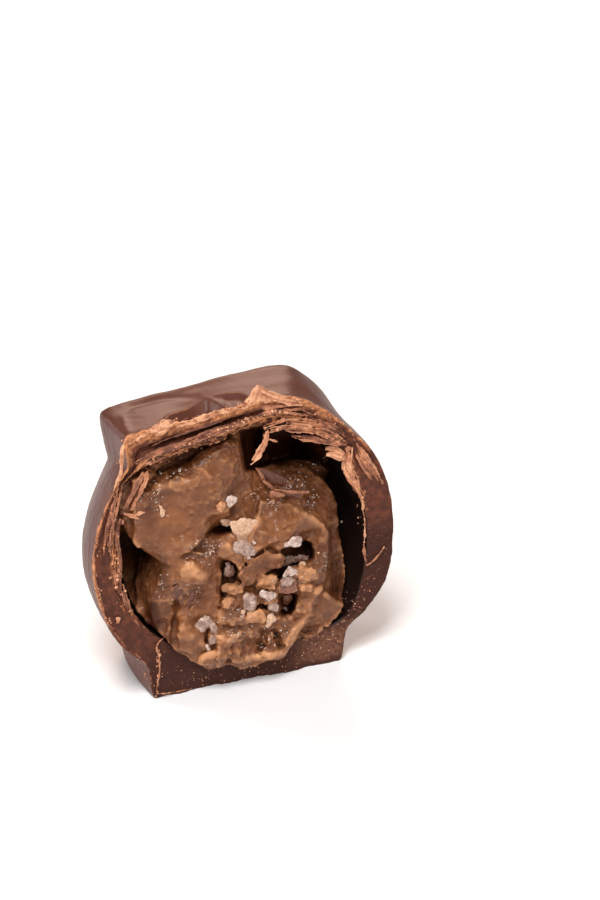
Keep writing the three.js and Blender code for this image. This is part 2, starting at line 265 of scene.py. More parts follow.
@dataclass(frozen=True)
class TruffleForm:
    """The form of the shell and its hollow, as the solids have it, in millimetres."""

    heart: Point = (-0.4, -6.7, 19.0)
    ball_radius: float = 18.3
    ball_setback: float = 1.8
    wall: float = 3.1
    fit_gap: float = 0.35
    pad_sharpness: float = 16.0
    pad_neck: float = 0.7
    crown_rounding: float = 1.2
    foot_sharpness: float = 9.0
    foot_neck: float = 1.6
    base_rounding: float = 0.5
    pad_walls: tuple[Wall, ...] = (
        Wall((-0.98, -0.1, -0.19), 10.9),
        Wall((0, 1, 0), 8.1),
        Wall((0.5, -0.25, 0.83), 17.6),
        Wall((0.8, -0.1, 0.59), 18.2),
        Wall((0.97, 0, 0.24), 16.3),
        Wall((-0.1, 0, 1), 18.4),
        Wall((0, 0, -1), 1.0),
    )
    crown_walls: tuple[Wall, ...] = (Wall((-0.1, 0, 1), 17.3),)
    foot_walls: tuple[Wall, ...] = (
        Wall((-0.96, -0.28, 0), 11.7),
        Wall((-0.98, 0.15, 0), 13.7),
        Wall((1, 0, 0), 12.8),
        Wall((0, 1, 0), 13.4),
        Wall((0, 0, -1), 21.0),
        Wall((0, 0, 1), 1.0),
    )
    ball_swells: tuple[Swell, ...] = (
        Swell((0.85, 0, -0.53), 24, 1.8),
        Swell((0.60, 0, 0.80), 22, -0.9),
        Swell((-0.78, 0.51, 0.36), 22, -1.2),
        Swell((-0.20, 0.49, 0.85), 18, -1.0),
        Swell((-0.79, -0.15, -0.60), 12, 0.7),
    )
    pad_dish: tuple[Swell, ...] = (Swell((-0.28, 0.13, 0.95), 8, -0.7),)
    cavity_swells: tuple[Swell, ...] = (
        Swell((-0.83, 0, 0.56), 14, 2.4),
        Swell((-0.22, 0, 0.97), 20, -1.5),
        Swell((0.80, 0, -0.60), 22, 2.0),
        Swell((0.93, 0, 0.36), 12, -1.1),
        Swell((0.66, 0, -0.75), 13, 1.5),
    )

    @property
    def cut_y(self) -> float:
        """The place of the cut face along Y."""
        return self.heart[1]

    @staticmethod
    def ways(turn: np.ndarray, lean: np.ndarray) -> np.ndarray:
        """The directions that turns and leans point in."""
        t, l = np.radians(turn), np.radians(lean)
        return np.stack([np.cos(t) * np.cos(l), np.sin(l), np.sin(t) * np.cos(l)], axis=-1)

    def _ball(self, way: np.ndarray, radius: float) -> np.ndarray:
        """How far a ball that is set back behind the heart reaches."""
        along = way[:, 1] * self.ball_setback
        return along + np.sqrt(along**2 + radius**2 - self.ball_setback**2)

    @staticmethod
    def _block(way: np.ndarray, walls: Sequence[Wall], sharpness: float) -> np.ndarray:
        """How far a block with rounded corners reaches."""
        total = np.full(len(way), 1e-40)
        for wall in walls:
            facing = way @ unit(np.array(wall.faces, float))
            total += (np.maximum(0.0, facing) / wall.distance) ** sharpness
        return total ** (-1.0 / sharpness)

    @staticmethod
    def _swell(way: np.ndarray, swells: Sequence[Swell]) -> np.ndarray:
        """How far the swells lift the surface."""
        rise = np.zeros(len(way))
        for swell in swells:
            facing = np.clip(way @ unit(np.array(swell.towards, float)), -1.0, 1.0)
            away = np.degrees(np.arccos(facing)) / swell.spread
            rise += swell.rise * hump(away)
        return rise

    def outer(self, turn: np.ndarray, lean: np.ndarray) -> np.ndarray:
        """How far the outer skin is from the heart, down to the flat foot."""
        way = self.ways(turn, lean)
        ball = self._ball(way, self.ball_radius) + self._swell(way, self.ball_swells)
        padded = soft_max(ball, self._block(way, self.pad_walls, self.pad_sharpness), self.pad_neck)
        foot = self._block(way, self.foot_walls, self.foot_sharpness)
        reach = soft_max(padded, foot, self.foot_neck)
        crown = self._block(way, self.crown_walls, 1.0)
        upward = (way[:, 2] > 0.1) & (crown < 2.0 * reach)
        reach = np.where(upward, soft_min(reach, crown, self.crown_rounding), reach)
        reach = reach + self._swell(way, self.pad_dish)
        floor = self.heart[2] / np.maximum(-way[:, 2], 1e-6)
        return np.where(floor < 60.0, soft_min(reach, floor, self.base_rounding), reach)

    def cavity(self, turn: np.ndarray, lean: np.ndarray) -> np.ndarray:
        """How far the wall of the hollow is from the heart."""
        way = self.ways(turn, lean)
        return self._ball(way, self.ball_radius - self.wall) + self._swell(way, self.cavity_swells)

    def cavity_radius(self, turn: np.ndarray, depth: np.ndarray) -> np.ndarray:
        """The hollow's radius in a slice that lies a depth behind the cut face."""
        lean = np.zeros(len(turn))
        for _ in range(4):
            share = np.clip(np.maximum(0.0, depth) / self.cavity(turn, lean), 0.0, 0.999)
            lean = np.degrees(np.arcsin(share))
        return self.cavity(turn, lean) * np.cos(np.radians(lean))

    def on_ring(self, turn: np.ndarray, radius: np.ndarray, forward: np.ndarray) -> np.ndarray:
        """Places round the heart: a turn, a radius and how far in front of the cut face."""
        t = np.radians(turn)
        across = self.heart[0] + radius * np.cos(t)
        up = self.heart[2] + radius * np.sin(t)
        return np.stack([across, self.cut_y - forward, up], axis=-1)

    def at(self, right: float, up: float, forward: float = 0.0) -> np.ndarray:
        """A place given from the heart: right, up and in front of the cut face."""
        return np.array([self.heart[0] + right, self.cut_y - forward, self.heart[2] + up])


# ---- Modelling helpers ---------------------------------------------------------------------------


class Bench:
    """Adds, joins and finishes meshes with Blender's own tools."""

    @staticmethod
    def clear_selection() -> None:
        """Deselects every object."""
        bpy.ops.object.select_all(action="DESELECT")

    @staticmethod
    def choose(piece: bpy.types.Object) -> None:
        """Selects one object alone and makes it the active one."""
        Bench.clear_selection()
        piece.select_set(True)
        bpy.context.view_layer.objects.active = piece

    @staticmethod
    def coords(piece: bpy.types.Object) -> np.ndarray:
        """The vertices of a mesh, one a row."""
        places = np.zeros(len(piece.data.vertices) * 3)
        piece.data.vertices.foreach_get("co", places)
        return places.reshape(-1, 3)

    @staticmethod
    def normals(piece: bpy.types.Object) -> np.ndarray:
        """The vertex normals of a mesh, one a row."""
        ways = np.zeros(len(piece.data.vertices) * 3)
        piece.data.vertices.foreach_get("normal", ways)
        return ways.reshape(-1, 3)

    @staticmethod
    def move(piece: bpy.types.Object, places: np.ndarray) -> None:
        """Puts the vertices of a mesh in new places."""
        piece.data.vertices.foreach_set("co", np.asarray(places, float).ravel())
        piece.data.update()

    @staticmethod
    def note(piece: bpy.types.Object, name: str, values: np.ndarray) -> None:
        """Keeps a value for each vertex, which the finishes read by name."""
        layer = piece.data.attributes.new(name, "FLOAT", "POINT")
        layer.data.foreach_set("value", np.asarray(values, np.float32))

    @staticmethod
    def ball(name: str, segments: int, rings: int) -> bpy.types.Object:
        """Adds a round ball of radius 1 with its poles on Z."""
        Bench.clear_selection()
        bpy.ops.mesh.primitive_uv_sphere_add(segments=segments, ring_count=rings, radius=1.0)
        piece = bpy.context.object
        piece.name = name
        return piece

    @staticmethod
    def pebble(name: str, fineness: int) -> bpy.types.Object:
        """Adds a round pebble of radius 1 with even triangles."""
        Bench.clear_selection()
        bpy.ops.mesh.primitive_ico_sphere_add(subdivisions=fineness, radius=1.0)
        piece = bpy.context.object
        piece.name = name
        return piece

    @staticmethod
    def land(
        start: np.ndarray, way: Point, targets: Sequence[bpy.types.Object], scale: float = MM
    ) -> np.ndarray | None:
        """The nearest place to the viewer where a line through a point meets some pieces.

        Args:
            start: a point of the line.
            way: its direction, towards the viewer.
            targets: the pieces it may meet.
            scale: the length of a millimetre in their meshes.

        Returns:
            The place, or nothing where it meets none.
        """
        towards = Vector(way).normalized()
        origin = Vector(start * scale) + towards * (CAST_AHEAD * scale)
        reach = CAST_LENGTH * scale
        found = [target.ray_cast(origin, -towards, distance=reach) for target in targets]
        places = [place for hit, place, _, _ in found if hit]
        nearest = min(places, key=lambda place: (place - origin).length, default=None)
        return np.array(nearest) / scale if nearest is not None else None

    @staticmethod
    def bulge(piece: bpy.types.Object, rounds: int) -> np.ndarray:
        """How far each vertex stands out from its neighbours, less than 0 in a crease."""
        mesh = piece.data
        pairs = np.zeros(len(mesh.edges) * 2, dtype=np.int64)
        mesh.edges.foreach_get("vertices", pairs)
        first, second = pairs[::2], pairs[1::2]
        total = len(mesh.vertices)
        near = np.maximum(
            np.bincount(first, minlength=total) + np.bincount(second, minlength=total), 1
        )

        def even(values: np.ndarray) -> np.ndarray:
            """The mean of each vertex's neighbours."""
            add = (
                np.bincount(first, values[second], total)
                + np.bincount(second, values[first], total)
            )
            return add / near

        places = Bench.coords(piece)
        calm = places.T.copy()
        for _ in range(rounds):
            calm = np.stack([even(axis) for axis in calm])
        out = ((places - calm.T) * Bench.normals(piece)).sum(axis=1)
        return 0.5 * (out + even(out))

    @staticmethod
    def apply(piece: bpy.types.Object, kind: str, **settings: object) -> None:
        """Adds a modifier with its settings and applies it."""
        Bench.choose(piece)
        modifier = piece.modifiers.new(kind.lower(), kind)
        for name, value in settings.items():
            setattr(modifier, name, value)
        bpy.ops.object.modifier_apply(modifier=modifier.name)

    @staticmethod
    def clean(piece: bpy.types.Object) -> None:
        """Takes faulty faces, and faces that hang on no other, out of a mesh."""
        piece.data.validate()
        work = bmesh.new()
        work.from_mesh(piece.data)
        stray = [face for face in work.faces if all(edge.is_boundary for edge in face.edges)]
        bmesh.ops.delete(work, geom=stray, context="FACES")
        work.to_mesh(piece.data)
        work.free()

    @staticmethod
    def copy(piece: bpy.types.Object, name: str) -> bpy.types.Object:
        """A copy of a piece with a mesh of its own."""
        twin = piece.copy()
        twin.data = piece.data.copy()
        twin.name = name
        bpy.context.collection.objects.link(twin)
        return twin

    @staticmethod
    def join(name: str, pieces: Sequence[bpy.types.Object]) -> bpy.types.Object:
        """Joins several meshes into the first one."""
        Bench.clear_selection()
        for piece in pieces:
            piece.select_set(True)
        bpy.context.view_layer.objects.active = pieces[0]
        if len(pieces) > 1:
            bpy.ops.object.join()
        pieces[0].name = name
        return pieces[0]

    @staticmethod
    def finish(piece: bpy.types.Object, material: bpy.types.Material, slot: str) -> None:
        """Scales a mesh to metres, smooths its shading, dresses it and lets it ride on the body."""
        Bench.choose(piece)
        piece.data.transform(Matrix.Scale(MM, 4))
        piece.data.update()
        bpy.ops.object.shade_smooth()
        piece.data.materials.clear()
        piece.data.materials.append(material)
        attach(piece, BODY)
        LOG.info("%s: %d faces", piece.name, len(piece.data.polygons))


def press_ball(
    name: str,
    segments: int,
    rows: int,
    place: Callable[[np.ndarray, np.ndarray], np.ndarray],
    back_pole: np.ndarray,
    front_pole: np.ndarray,
) -> tuple[bpy.types.Object, np.ndarray, np.ndarray]:
    """Adds a ball and presses its rings of vertices into rows of a new form.

    Args:
        name: the new object's name.
        segments: how many vertices each ring has.
        rows: how many rings there are between the poles.
        place: gives the places of vertices from their rows and turns.
        back_pole: where the first pole goes.
        front_pole: where the last pole goes.

    Returns:
        The object, and the row and the turn of each vertex, with rows -1 and rows for the poles.
    """
    piece = Bench.ball(name, segments, rows + 1)
    start = Bench.coords(piece)
    polar = np.degrees(np.arccos(np.clip(start[:, 2], -1.0, 1.0)))
    row = np.rint(polar / 180.0 * (rows + 1)).astype(int) - 1
    turn = -np.degrees(np.arctan2(start[:, 1], start[:, 0])) % 360.0
    places = np.zeros_like(start)
    places[row < 0] = back_pole
    places[row >= rows] = front_pole
    rings = (row >= 0) & (row < rows)
    places[rings] = place(row[rings], turn[rings])
    Bench.move(piece, places)
    return piece, row, turn


# ---- Shader helpers ------------------------------------------------------------------------------


class Ink:
    """A number that varies over a surface: a socket with the signs of arithmetic."""

    def __init__(self, tree: "Finish", socket: bpy.types.NodeSocket) -> None:
        """Wraps a socket of a finish."""
        self.tree = tree
        self.socket = socket

    def _do(self, operation: str, *values: object) -> "Ink":
        """Adds a Math node."""
        return self.tree.node("ShaderNodeMath", {"operation": operation}, dict(enumerate(values)))

    def __add__(self, other: object) -> "Ink":
        """Sum."""
        return self._do("ADD", self, other)

    __radd__ = __add__

    def __sub__(self, other: object) -> "Ink":
        """Difference."""
        return self._do("SUBTRACT", self, other)

    def __rsub__(self, other: object) -> "Ink":
        """Difference the other way round."""
        return self._do("SUBTRACT", other, self)

    def __mul__(self, other: object) -> "Ink":
        """Product."""
        return self._do("MULTIPLY", self, other)

    __rmul__ = __mul__

    def __pow__(self, other: object) -> "Ink":
        """Power."""
        return self._do("POWER", self, other)

    def clamp(self) -> "Ink":
        """Kept between 0 and 1."""
        return self.tree.node("ShaderNodeClamp", {}, {"Value": self})

    def ramp(self, low: float, high: float) -> "Ink":
        """Rises smoothly from 0 at low to 1 at high."""
        settings = {"interpolation_type": "SMOOTHSTEP"}
        values = {"Value": self, "From Min": low, "From Max": high}
        return self.tree.node("ShaderNodeMapRange", settings, values)


class Finish:
    """The nodes of one material."""

    def __init__(self, name: str) -> None:
        """Starts a material with a Principled shader."""
        self.material = bpy.data.materials.new(name)
        self.material.use_nodes = True
        self.tree = self.material.node_tree
        self.shader = self.tree.nodes["Principled BSDF"]
        self.coordinates = self.tree.nodes.new("ShaderNodeTexCoord").outputs["Object"]

    def node(self, kind: str, settings: dict, inputs: dict, output: int | str = 0) -> Ink:
        """Adds any node.

        Args:
            kind: the node's type.
            settings: its properties, set before its sockets.
            inputs: values or links for its sockets, by name or place.
            output: which of its outputs is given back.

        Returns:
            The output, ready for arithmetic.
        """
        made = self.tree.nodes.new(kind)
        for name, value in settings.items():
            setattr(made, name, value)
        for key, value in inputs.items():
            if isinstance(value, Ink):
                self.tree.links.new(value.socket, made.inputs[key])
            elif isinstance(value, bpy.types.NodeSocket):
                self.tree.links.new(value, made.inputs[key])
            else:
                made.inputs[key].default_value = value
        return Ink(self, made.outputs[output])

    def read(self, name: str) -> Ink:
        """A value kept on the mesh."""
        return self.node("ShaderNodeAttribute", {"attribute_name": name}, {}, "Fac")

    def noise(self, size: float, detail: float = 3.0, roughness: float = 0.55) -> Ink:
        """Noise with lumps of a size in millimetres, between 0 and 1."""
        values = {"Scale": 1.0 / (size * MM), "Detail": detail, "Roughness": roughness}
        values["Vector"] = self.coordinates
        return self.node("ShaderNodeTexNoise", {}, values, "Fac")

    def cells(self, size: float) -> Ink:
        """The distance to the nearest of many scattered points, a size in millimetres apart."""
        values = {"Vector": self.coordinates, "Scale": 1.0 / (size * MM)}
        return self.node("ShaderNodeTexVoronoi", {}, values, "Distance")

    def blend(self, share: Ink | float, first: Ink | Colour, second: Ink | Colour) -> Ink:
        """One colour where the share is 0 and another where it is 1."""

        def opaque(colour: Ink | Colour) -> Ink | tuple:
            """A colour as a socket takes it."""
            return colour if isinstance(colour, Ink) else (*colour, 1.0)

        values = {0: share, 6: opaque(first), 7: opaque(second)}
        return self.node("ShaderNodeMix", {"data_type": "RGBA"}, values, 2)

    def bump(self, height: Ink, distance: float, strength: float = 1.0) -> Ink:
        """A normal that follows a height, over a distance in millimetres."""
        values = {"Height": height, "Distance": distance * MM, "Strength": strength}
        return self.node("ShaderNodeBump", {}, values, "Normal")

    def set(self, **values: object) -> "Finish":
        """Sets the shader's sockets: Base_Color stands for Base Color."""
        for name, value in values.items():
            socket = self.shader.inputs[name.replace("_", " ")]
            if isinstance(value, Ink):
                self.tree.links.new(value.socket, socket)
            else:
                socket.default_value = value
        return self


# ---- Finishes ------------------------------------------------------------------------------------


@dataclass(frozen=True)
class ChocolateFinish:
    """Moulded chocolate: satin skin, cut and scraped rim, snapped foot, and painted shade in the
    hollow.
    """

    skin: Colour = linear(84, 44, 32)
    skin_light: Colour = linear(96, 54, 41)
    cut: Colour = linear(72, 35, 22)
    cut_light: Colour = linear(112, 58, 38)
    snapped: Colour = linear(62, 29, 18)
    speck: Colour = linear(190, 140, 112)
    # painted light: the lighter colour of the lower right of the cut and snapped face
    painted_light_tint: Colour = linear(142, 94, 72)
    # pale torn chocolate; these colours also paint the highlights on the dish lips and the lit band
    # inside the burr
    pale: Colour = linear(206, 138, 92)
    pale_dark: Colour = linear(136, 78, 50)
    # painted shade: the near-black of the hollow's wall and of the cracks in the rim
    hollow: Colour = linear(28, 13, 8)

    def make(self) -> bpy.types.Material:
        """Builds the material.

        Returns:
            The material, which reads the shell's notes rim, pale (which also paints highlights),
            snapped, the painted light of the lower right, and hollow (painted shade).
        """
        f = Finish("moulded_chocolate")
        rim, pale = f.read("rim"), f.read("pale")
        snapped, hollow = f.read("snapped"), f.read("hollow")
        cloud = f.noise(6.0, 4.0)
        fine = f.noise(0.5, 4.0, 0.65)
        skin = f.blend(cloud.ramp(0.35, 0.7), self.skin, self.skin_light)
        streak = f.noise(0.9, 5.0, 0.6)
        cut = f.blend(streak.ramp(0.35, 0.75), self.cut, self.cut_light)
        specks = (1.0 - f.cells(0.42).ramp(0.06, 0.2)) * f.noise(1.3).ramp(0.4, 0.6)
        rough_face = f.blend(specks * 0.8, self.snapped, self.speck)
        face = f.blend(snapped, cut, rough_face)
        # painted light: the lower right of the face is lightened
        face = f.blend(f.read("painted_light") * fine.ramp(0.25, 0.65), face, self.painted_light_tint)
        # painted shade: the hollow's wall and the cracks turn near-black
        face = f.blend(hollow, face, self.hollow)
        colour = f.blend(rim, skin, face)
        # pale torn chocolate, with the painted highlights and the painted lit band that share the
        # pale note
        ragged = f.blend(fine.ramp(0.3, 0.6), self.pale_dark, self.pale)
        colour = f.blend((pale * (fine * 0.9 + 0.5)).ramp(0.3, 0.75), colour, ragged)
        height = (
            fine * (0.35 + 0.9 * rim) + f.noise(0.16, 2.0) * (0.25 + pale * 1.4 + snapped * 1.4)
        )
        roughness = 0.32 + cloud * 0.1 + fine * 0.06 + rim * 0.14 + pale * 0.3 + snapped * 0.16
        f.set(Base_Color=colour, Roughness=roughness.clamp(), Normal=f.bump(height, 0.05, 0.6))
        f.set(IOR=1.46, Specular_IOR_Level=0.28)
        return f.material


@dataclass(frozen=True)
class ShavingFinish:
    """Thin scraped chocolate: pale along its torn edges, browner on its flats."""

    pale: Colour = linear(224, 164, 124)
    tan: Colour = linear(176, 112, 78)
    brown: Colour = linear(98, 54, 38)

    def make(self) -> bpy.types.Material:
        """Builds the material.

        Returns:
            The material, which reads the note torn.
        """
        f = Finish("scraped_chocolate")
        fine = f.noise(0.35, 4.0, 0.65)
        torn = f.read("torn") + fine * 0.5 - 0.25
        colour = f.blend(torn.ramp(0.1, 0.5), self.brown, self.tan)
        colour = f.blend(torn.ramp(0.5, 0.9), colour, self.pale)
        f.set(
            Base_Color=colour, Roughness=0.62, Normal=f.bump(fine + f.noise(0.12, 2.0), 0.06, 0.8)
        )
        return f.material


@dataclass(frozen=True)
class FillingFinish:
    """Sticky filling: glossy brown cream, lighter on its crests, partly its tan and partly painted
    highlight, with painted shade in its folds, hollows and deep places.
    """

    base: Colour = linear(133, 79, 44)
    # light: the tan of crests and lumps, which also paints the highlights on convex crests
    light: Colour = linear(202, 142, 97)
    dark: Colour = linear(104, 59, 33)
    # deep: the colour of painted shade, a dark orange brown
    deep: Colour = linear(62, 26, 6)

    def make(self) -> bpy.types.Material:
        """Builds the material.

        Returns:
            The material, which reads the filling's notes crest, shade and wet.
        """
        f = Finish("sticky_filling")
        crest, shade = f.read("crest"), f.read("shade")
        cloud = f.noise(3.2, 4.0)
        fine = f.noise(0.5, 4.0, 0.6)
        wet = f.read("wet")
        colour = f.blend(cloud.ramp(0.3, 0.72), self.dark, self.base)
        # lighter on the crests: their tan, and painted highlight where the surface bulges out
        colour = f.blend((crest + fine * 0.4 - 0.2).clamp(), colour, self.light)
        # painted shade: darker where the shade note is high
        colour = f.blend(shade.clamp(), colour, self.deep)
        wet = (wet * 1.3 + f.noise(1.6, 3.0).ramp(0.52, 0.72) * 0.35).clamp()
        roughness = 0.4 + cloud * 0.1 + fine * 0.1 - wet * 0.38
        coat = (wet * 0.8 + 0.22) * (1.0 - shade.clamp() * 0.75)
        f.set(Base_Color=colour, Roughness=roughness.clamp(), Coat_Weight=coat.clamp())
        height = fine * (0.8 + wet * 1.4) + f.noise(0.24, 3.0) * (0.5 + wet * 1.7)
        f.set(Normal=f.bump(height, 0.14, 0.9))
        f.set(IOR=1.42, Coat_Roughness=0.1, Specular_IOR_Level=0.32)
        return f.material


@dataclass(frozen=True)
class BitFinish:
    """Small hard bits: crisps, crystals or wet chips."""

    name: str
    main: Colour
    second: Colour
    roughness: float
    coat: float = 0.0
    grain: float = 0.3
    edged: float = 0.25

    def make(self) -> bpy.types.Material:
        """Builds the material, which reads the note crest."""
        f = Finish(self.name)
        fine = f.noise(self.grain, 4.0, 0.65)
        share = (
            fine.ramp(0.35, 0.65) * (1.0 - self.edged)
            + (f.read("crest") + fine * 0.4 - 0.2) * self.edged
        )
        colour = f.blend(share.clamp(), self.second, self.main)
        f.set(Base_Color=colour, Roughness=self.roughness, Coat_Weight=self.coat)
        f.set(Normal=f.bump(fine, 0.05, 0.6))
        return f.material


@dataclass(frozen=True)
class FloorFinish:
    """Plain pale floor."""

    colour: Colour = (0.92, 0.92, 0.92)

    def make(self) -> bpy.types.Material:
        """Builds the material."""
        f = Finish("pale_floor")
        shade = f.blend(f.noise(40.0), self.colour, tuple(0.99 * c for c in self.colour))
        f.set(Base_Color=shade, Roughness=0.7, Specular_IOR_Level=0.2)
        return f.material


# ---- The shell -----------------------------------------------------------------------------------


@dataclass
class Shell:
    """The moulded shell: a ball pressed into a bowl, with its cut rim worked in relief."""

    form: TruffleForm
    segments: int = 560
    outer_rows: int = 124
    rim_rows: int = 28
    inner_rows: int = 20
    layered_turn: float = 95.0
    layered_spread: float = 62.0
    snapped_turn: float = 292.0
    snapped_spread: float = 62.0
    noise_radius: float = 17.0
    noise_wall: float = 3.0
    # where the left side, the top and the top with painted highlights on the dish lips begin and
    # are full
    left_from: Pair = (-9.0, -15.0)
    top_from: Pair = (33.0, 35.0)
    lip_highlight_from: Pair = (33.5, 34.5)
    # bands across the wall, from 0 at the outer edge to 1 at the inner one: middle and width
    fringe: Pair = (0.0, 0.1)
    burr: Pair = (0.05, 0.075)
    # a paler band just inside the burr: painted light on the burr's lit face
    painted_lit_band: Pair = (0.18, 0.22)
    lip: Pair = (0.72, 0.1)
    fibrous: Pair = (0.8, 0.25)
    inner_edge: Pair = (1.0, 0.09)
    cracks: tuple[Pair, Pair] = ((0.5, 0.07), (0.84, 0.035))
    # each fold: its height, its width, the strength of the painted highlight along it, and its path
    folds: tuple[tuple[float, float, float, tuple[Pair, ...]], ...] = (
        # the raised lip of the dish in the pad, its right side, and the lip of the second dish
        (0.26, 0.26, 0.62, ((-10.1, -6.4), (-9.6, -5.9), (-8.5, -4.8), (-6.8, -3.9), (-5.1, -3.2),
            (-3.3, -2.8))),
        (0.2, 0.28, 0.3, ((-3.4, -2.8), (-2.9, -3.2), (-2.4, -5.1), (-2.0, -6.7))),
        (0.12, 0.28, 0.5, ((-3.3, -2.8), (-2.2, -2.9), (-1.0, -3.2), (0.3, -3.8), (1.1, -5.2))),
        # the groove before the back edge and the bead behind it
        (-0.2, 0.6, 0.0, ((-12.6, -1.6), (-11.4, -0.6), (-9.2, -0.5), (-7.4, -0.6), (-5.8, -1.0),
            (-4.2, -1.8))),
        (0.14, 0.5, 0.0, ((-12.0, 0.8), (-8.8, 0.9), (-5.0, 0.7), (-1.0, 0.5), (3.0, 0.3))),
        # the bright edge of the pad's left end
        (0.12, 0.4, 0.0, ((-13.6, -6.5), (-13.4, -4.0), (-13.0, -1.5))),
    )
    dishes: tuple[tuple[float, float, tuple[Pair, ...]], ...] = (
        (-0.7, 1.2, ((-9.7, -9.0), (-9.9, -6.2), (-8.5, -4.9), (-6.8, -4.1), (-5.1, -3.4),
            (-3.5, -3.0), (-3.0, -3.4), (-2.6, -5.1), (-2.2, -9.0))),
        (-0.3, 0.9, ((-1.9, -9.0), (-2.3, -5.1), (-2.0, -3.6), (-1.0, -3.4), (0.2, -4.0),
            (0.9, -5.2), (1.0, -9.0))),
    )

    def _params(
        self, row: np.ndarray, turn: np.ndarray
    ) -> tuple[np.ndarray, np.ndarray, np.ndarray]:
        """Splits rows into the outer skin, the rim and the hollow.

        Returns:
            The lean on the skin, the share across the rim, and the lean in the hollow.
        """
        outer = clamp((row + 1) / self.outer_rows)
        across = clamp((row + 1 - self.outer_rows) / (self.rim_rows + 1))
        inner = clamp((row - self.outer_rows - self.rim_rows) / self.inner_rows)
        return 90.0 * (1.0 - outer) ** 1.3, across, 90.0 * inner**1.35

    def _rim(self, turn: np.ndarray, across: np.ndarray) -> tuple[np.ndarray, ...]:
        """The relief of the cut rim.

        Args:
            turn: the turn of each vertex.
            across: its share of the way across the wall, from the outer edge.

        Returns:
            How far it stands forward and outward, how pale it is, with a painted lit band inside
            the burr, and where it is cracked open.
        """
        t = np.radians(turn)
        arc = np.stack([np.cos(t), np.sin(t), np.zeros_like(t)], axis=-1) * self.noise_radius
        wide = arc + np.stack([0 * t, 0 * t, across * self.noise_wall], axis=-1)
        layered = bell(turn, self.layered_turn, self.layered_spread)
        left = bell(turn, 185.0, 38.0)
        right_top = bell(turn, 25.0, 26.0)
        snapped = self.snapped(turn)
        ragged = Grain.layers(arc, 0.9, 3, 4)
        lumpy = Grain.layers(arc, 3.2, 5, 3)
        along = Grain.layers(wide * np.array([1.0, 1.0, 6.0]), 2.2, 9, 4)
        fibres = Grain.ridged(wide * np.array([0.55, 0.55, 5.0]), 1.0, 12, 3)
        burr = band(across, *self.burr) * np.clip(0.65 + 0.9 * ragged + 0.4 * lumpy, 0.0, 1.5)
        burr_height = 0.08 + 0.55 * layered + 0.16 * left + 0.1 * right_top
        (crack_at, crack_width), (second_at, second_width) = self.cracks
        crack_at = crack_at + 0.07 * lumpy
        open_turn = ease(86.0, 96.0, turn) * ease(136.0, 124.0, turn)
        crack = (
            band(across, crack_at, crack_width)
            * np.clip(0.6 + 0.4 * open_turn + 0.5 * ragged, 0.0, 1.3)
        )
        second_at = second_at + 0.05 * ragged
        second = band(across, second_at, second_width) * clamp(0.3 + 0.9 * lumpy)
        lip = band(across, *self.lip) * np.clip(0.5 + 0.8 * ragged, 0.0, 1.3)
        inner_edge = band(across, *self.inner_edge)
        forward = burr * burr_height
        forward = forward - (1.0 + 0.7 * open_turn) * layered * crack - 0.5 * layered * second
        forward = forward + 0.28 * layered * lip
        forward = forward + (0.05 + 0.2 * layered + 0.1 * left + 0.1 * right_top) * (fibres - 0.4)
        forward = forward + 0.05 * along * (1.0 - snapped)
        forward = (
            forward - 0.3 * inner_edge * np.clip(0.4 + ragged, 0.0, 1.4) * (layered + left + 0.4)
        )
        granular = Grain.layers(wide, 0.8, 21, 4)
        broad = Grain.layers(wide, 3.6, 25, 2)
        forward = forward + snapped * (0.22 * granular + 0.3 * broad - 0.18)
        outward = burr * burr_height * (0.5 + 0.8 * clamp(ragged)) * (layered + 0.3 * left)
        outward = (
            outward + inner_edge * (0.1 + 0.35 * layered + 0.25 * left + 0.2 * right_top) * ragged
        )
        outward = outward * (1.0 - 0.8 * ease(0.6, 1.0, snapped))
        edge_pale = band(across, *self.fringe) * (0.35 + 0.75 * layered + 0.4 * left)
        edge_pale = edge_pale * (1.0 - 0.8 * snapped)
        edge_pale = edge_pale * np.clip(0.7 + 0.8 * ragged, 0.0, 1.3)
        lip_pale = (lip * 0.9 + fibres * band(across, *self.fibrous)) * (1.25 * layered)
        side_pale = fibres * ease(0.55, 0.85, across) * (0.9 * left + 0.8 * right_top)
        rim_pale = inner_edge * clamp(0.4 + ragged) * (0.5 * layered + 0.6 * left + 0.5 * right_top)
        # painted light: a paler band just inside the burr, for its lit face
        painted_lit_band = band(across, *self.painted_lit_band) * np.clip(0.68 + 0.5 * lumpy, 0.0, 0.92) * layered
        pale = edge_pale + lip_pale + side_pale + rim_pale + painted_lit_band - 0.8 * crack * layered
        return forward, outward, clamp(pale), clamp(crack * open_turn)

    def snapped(self, turn: np.ndarray) -> np.ndarray:
        """Where the wall was snapped off and not cut: 1 round the bottom of the rim."""
        return ease(0.25, 0.45, bell(turn, self.snapped_turn, self.snapped_spread))

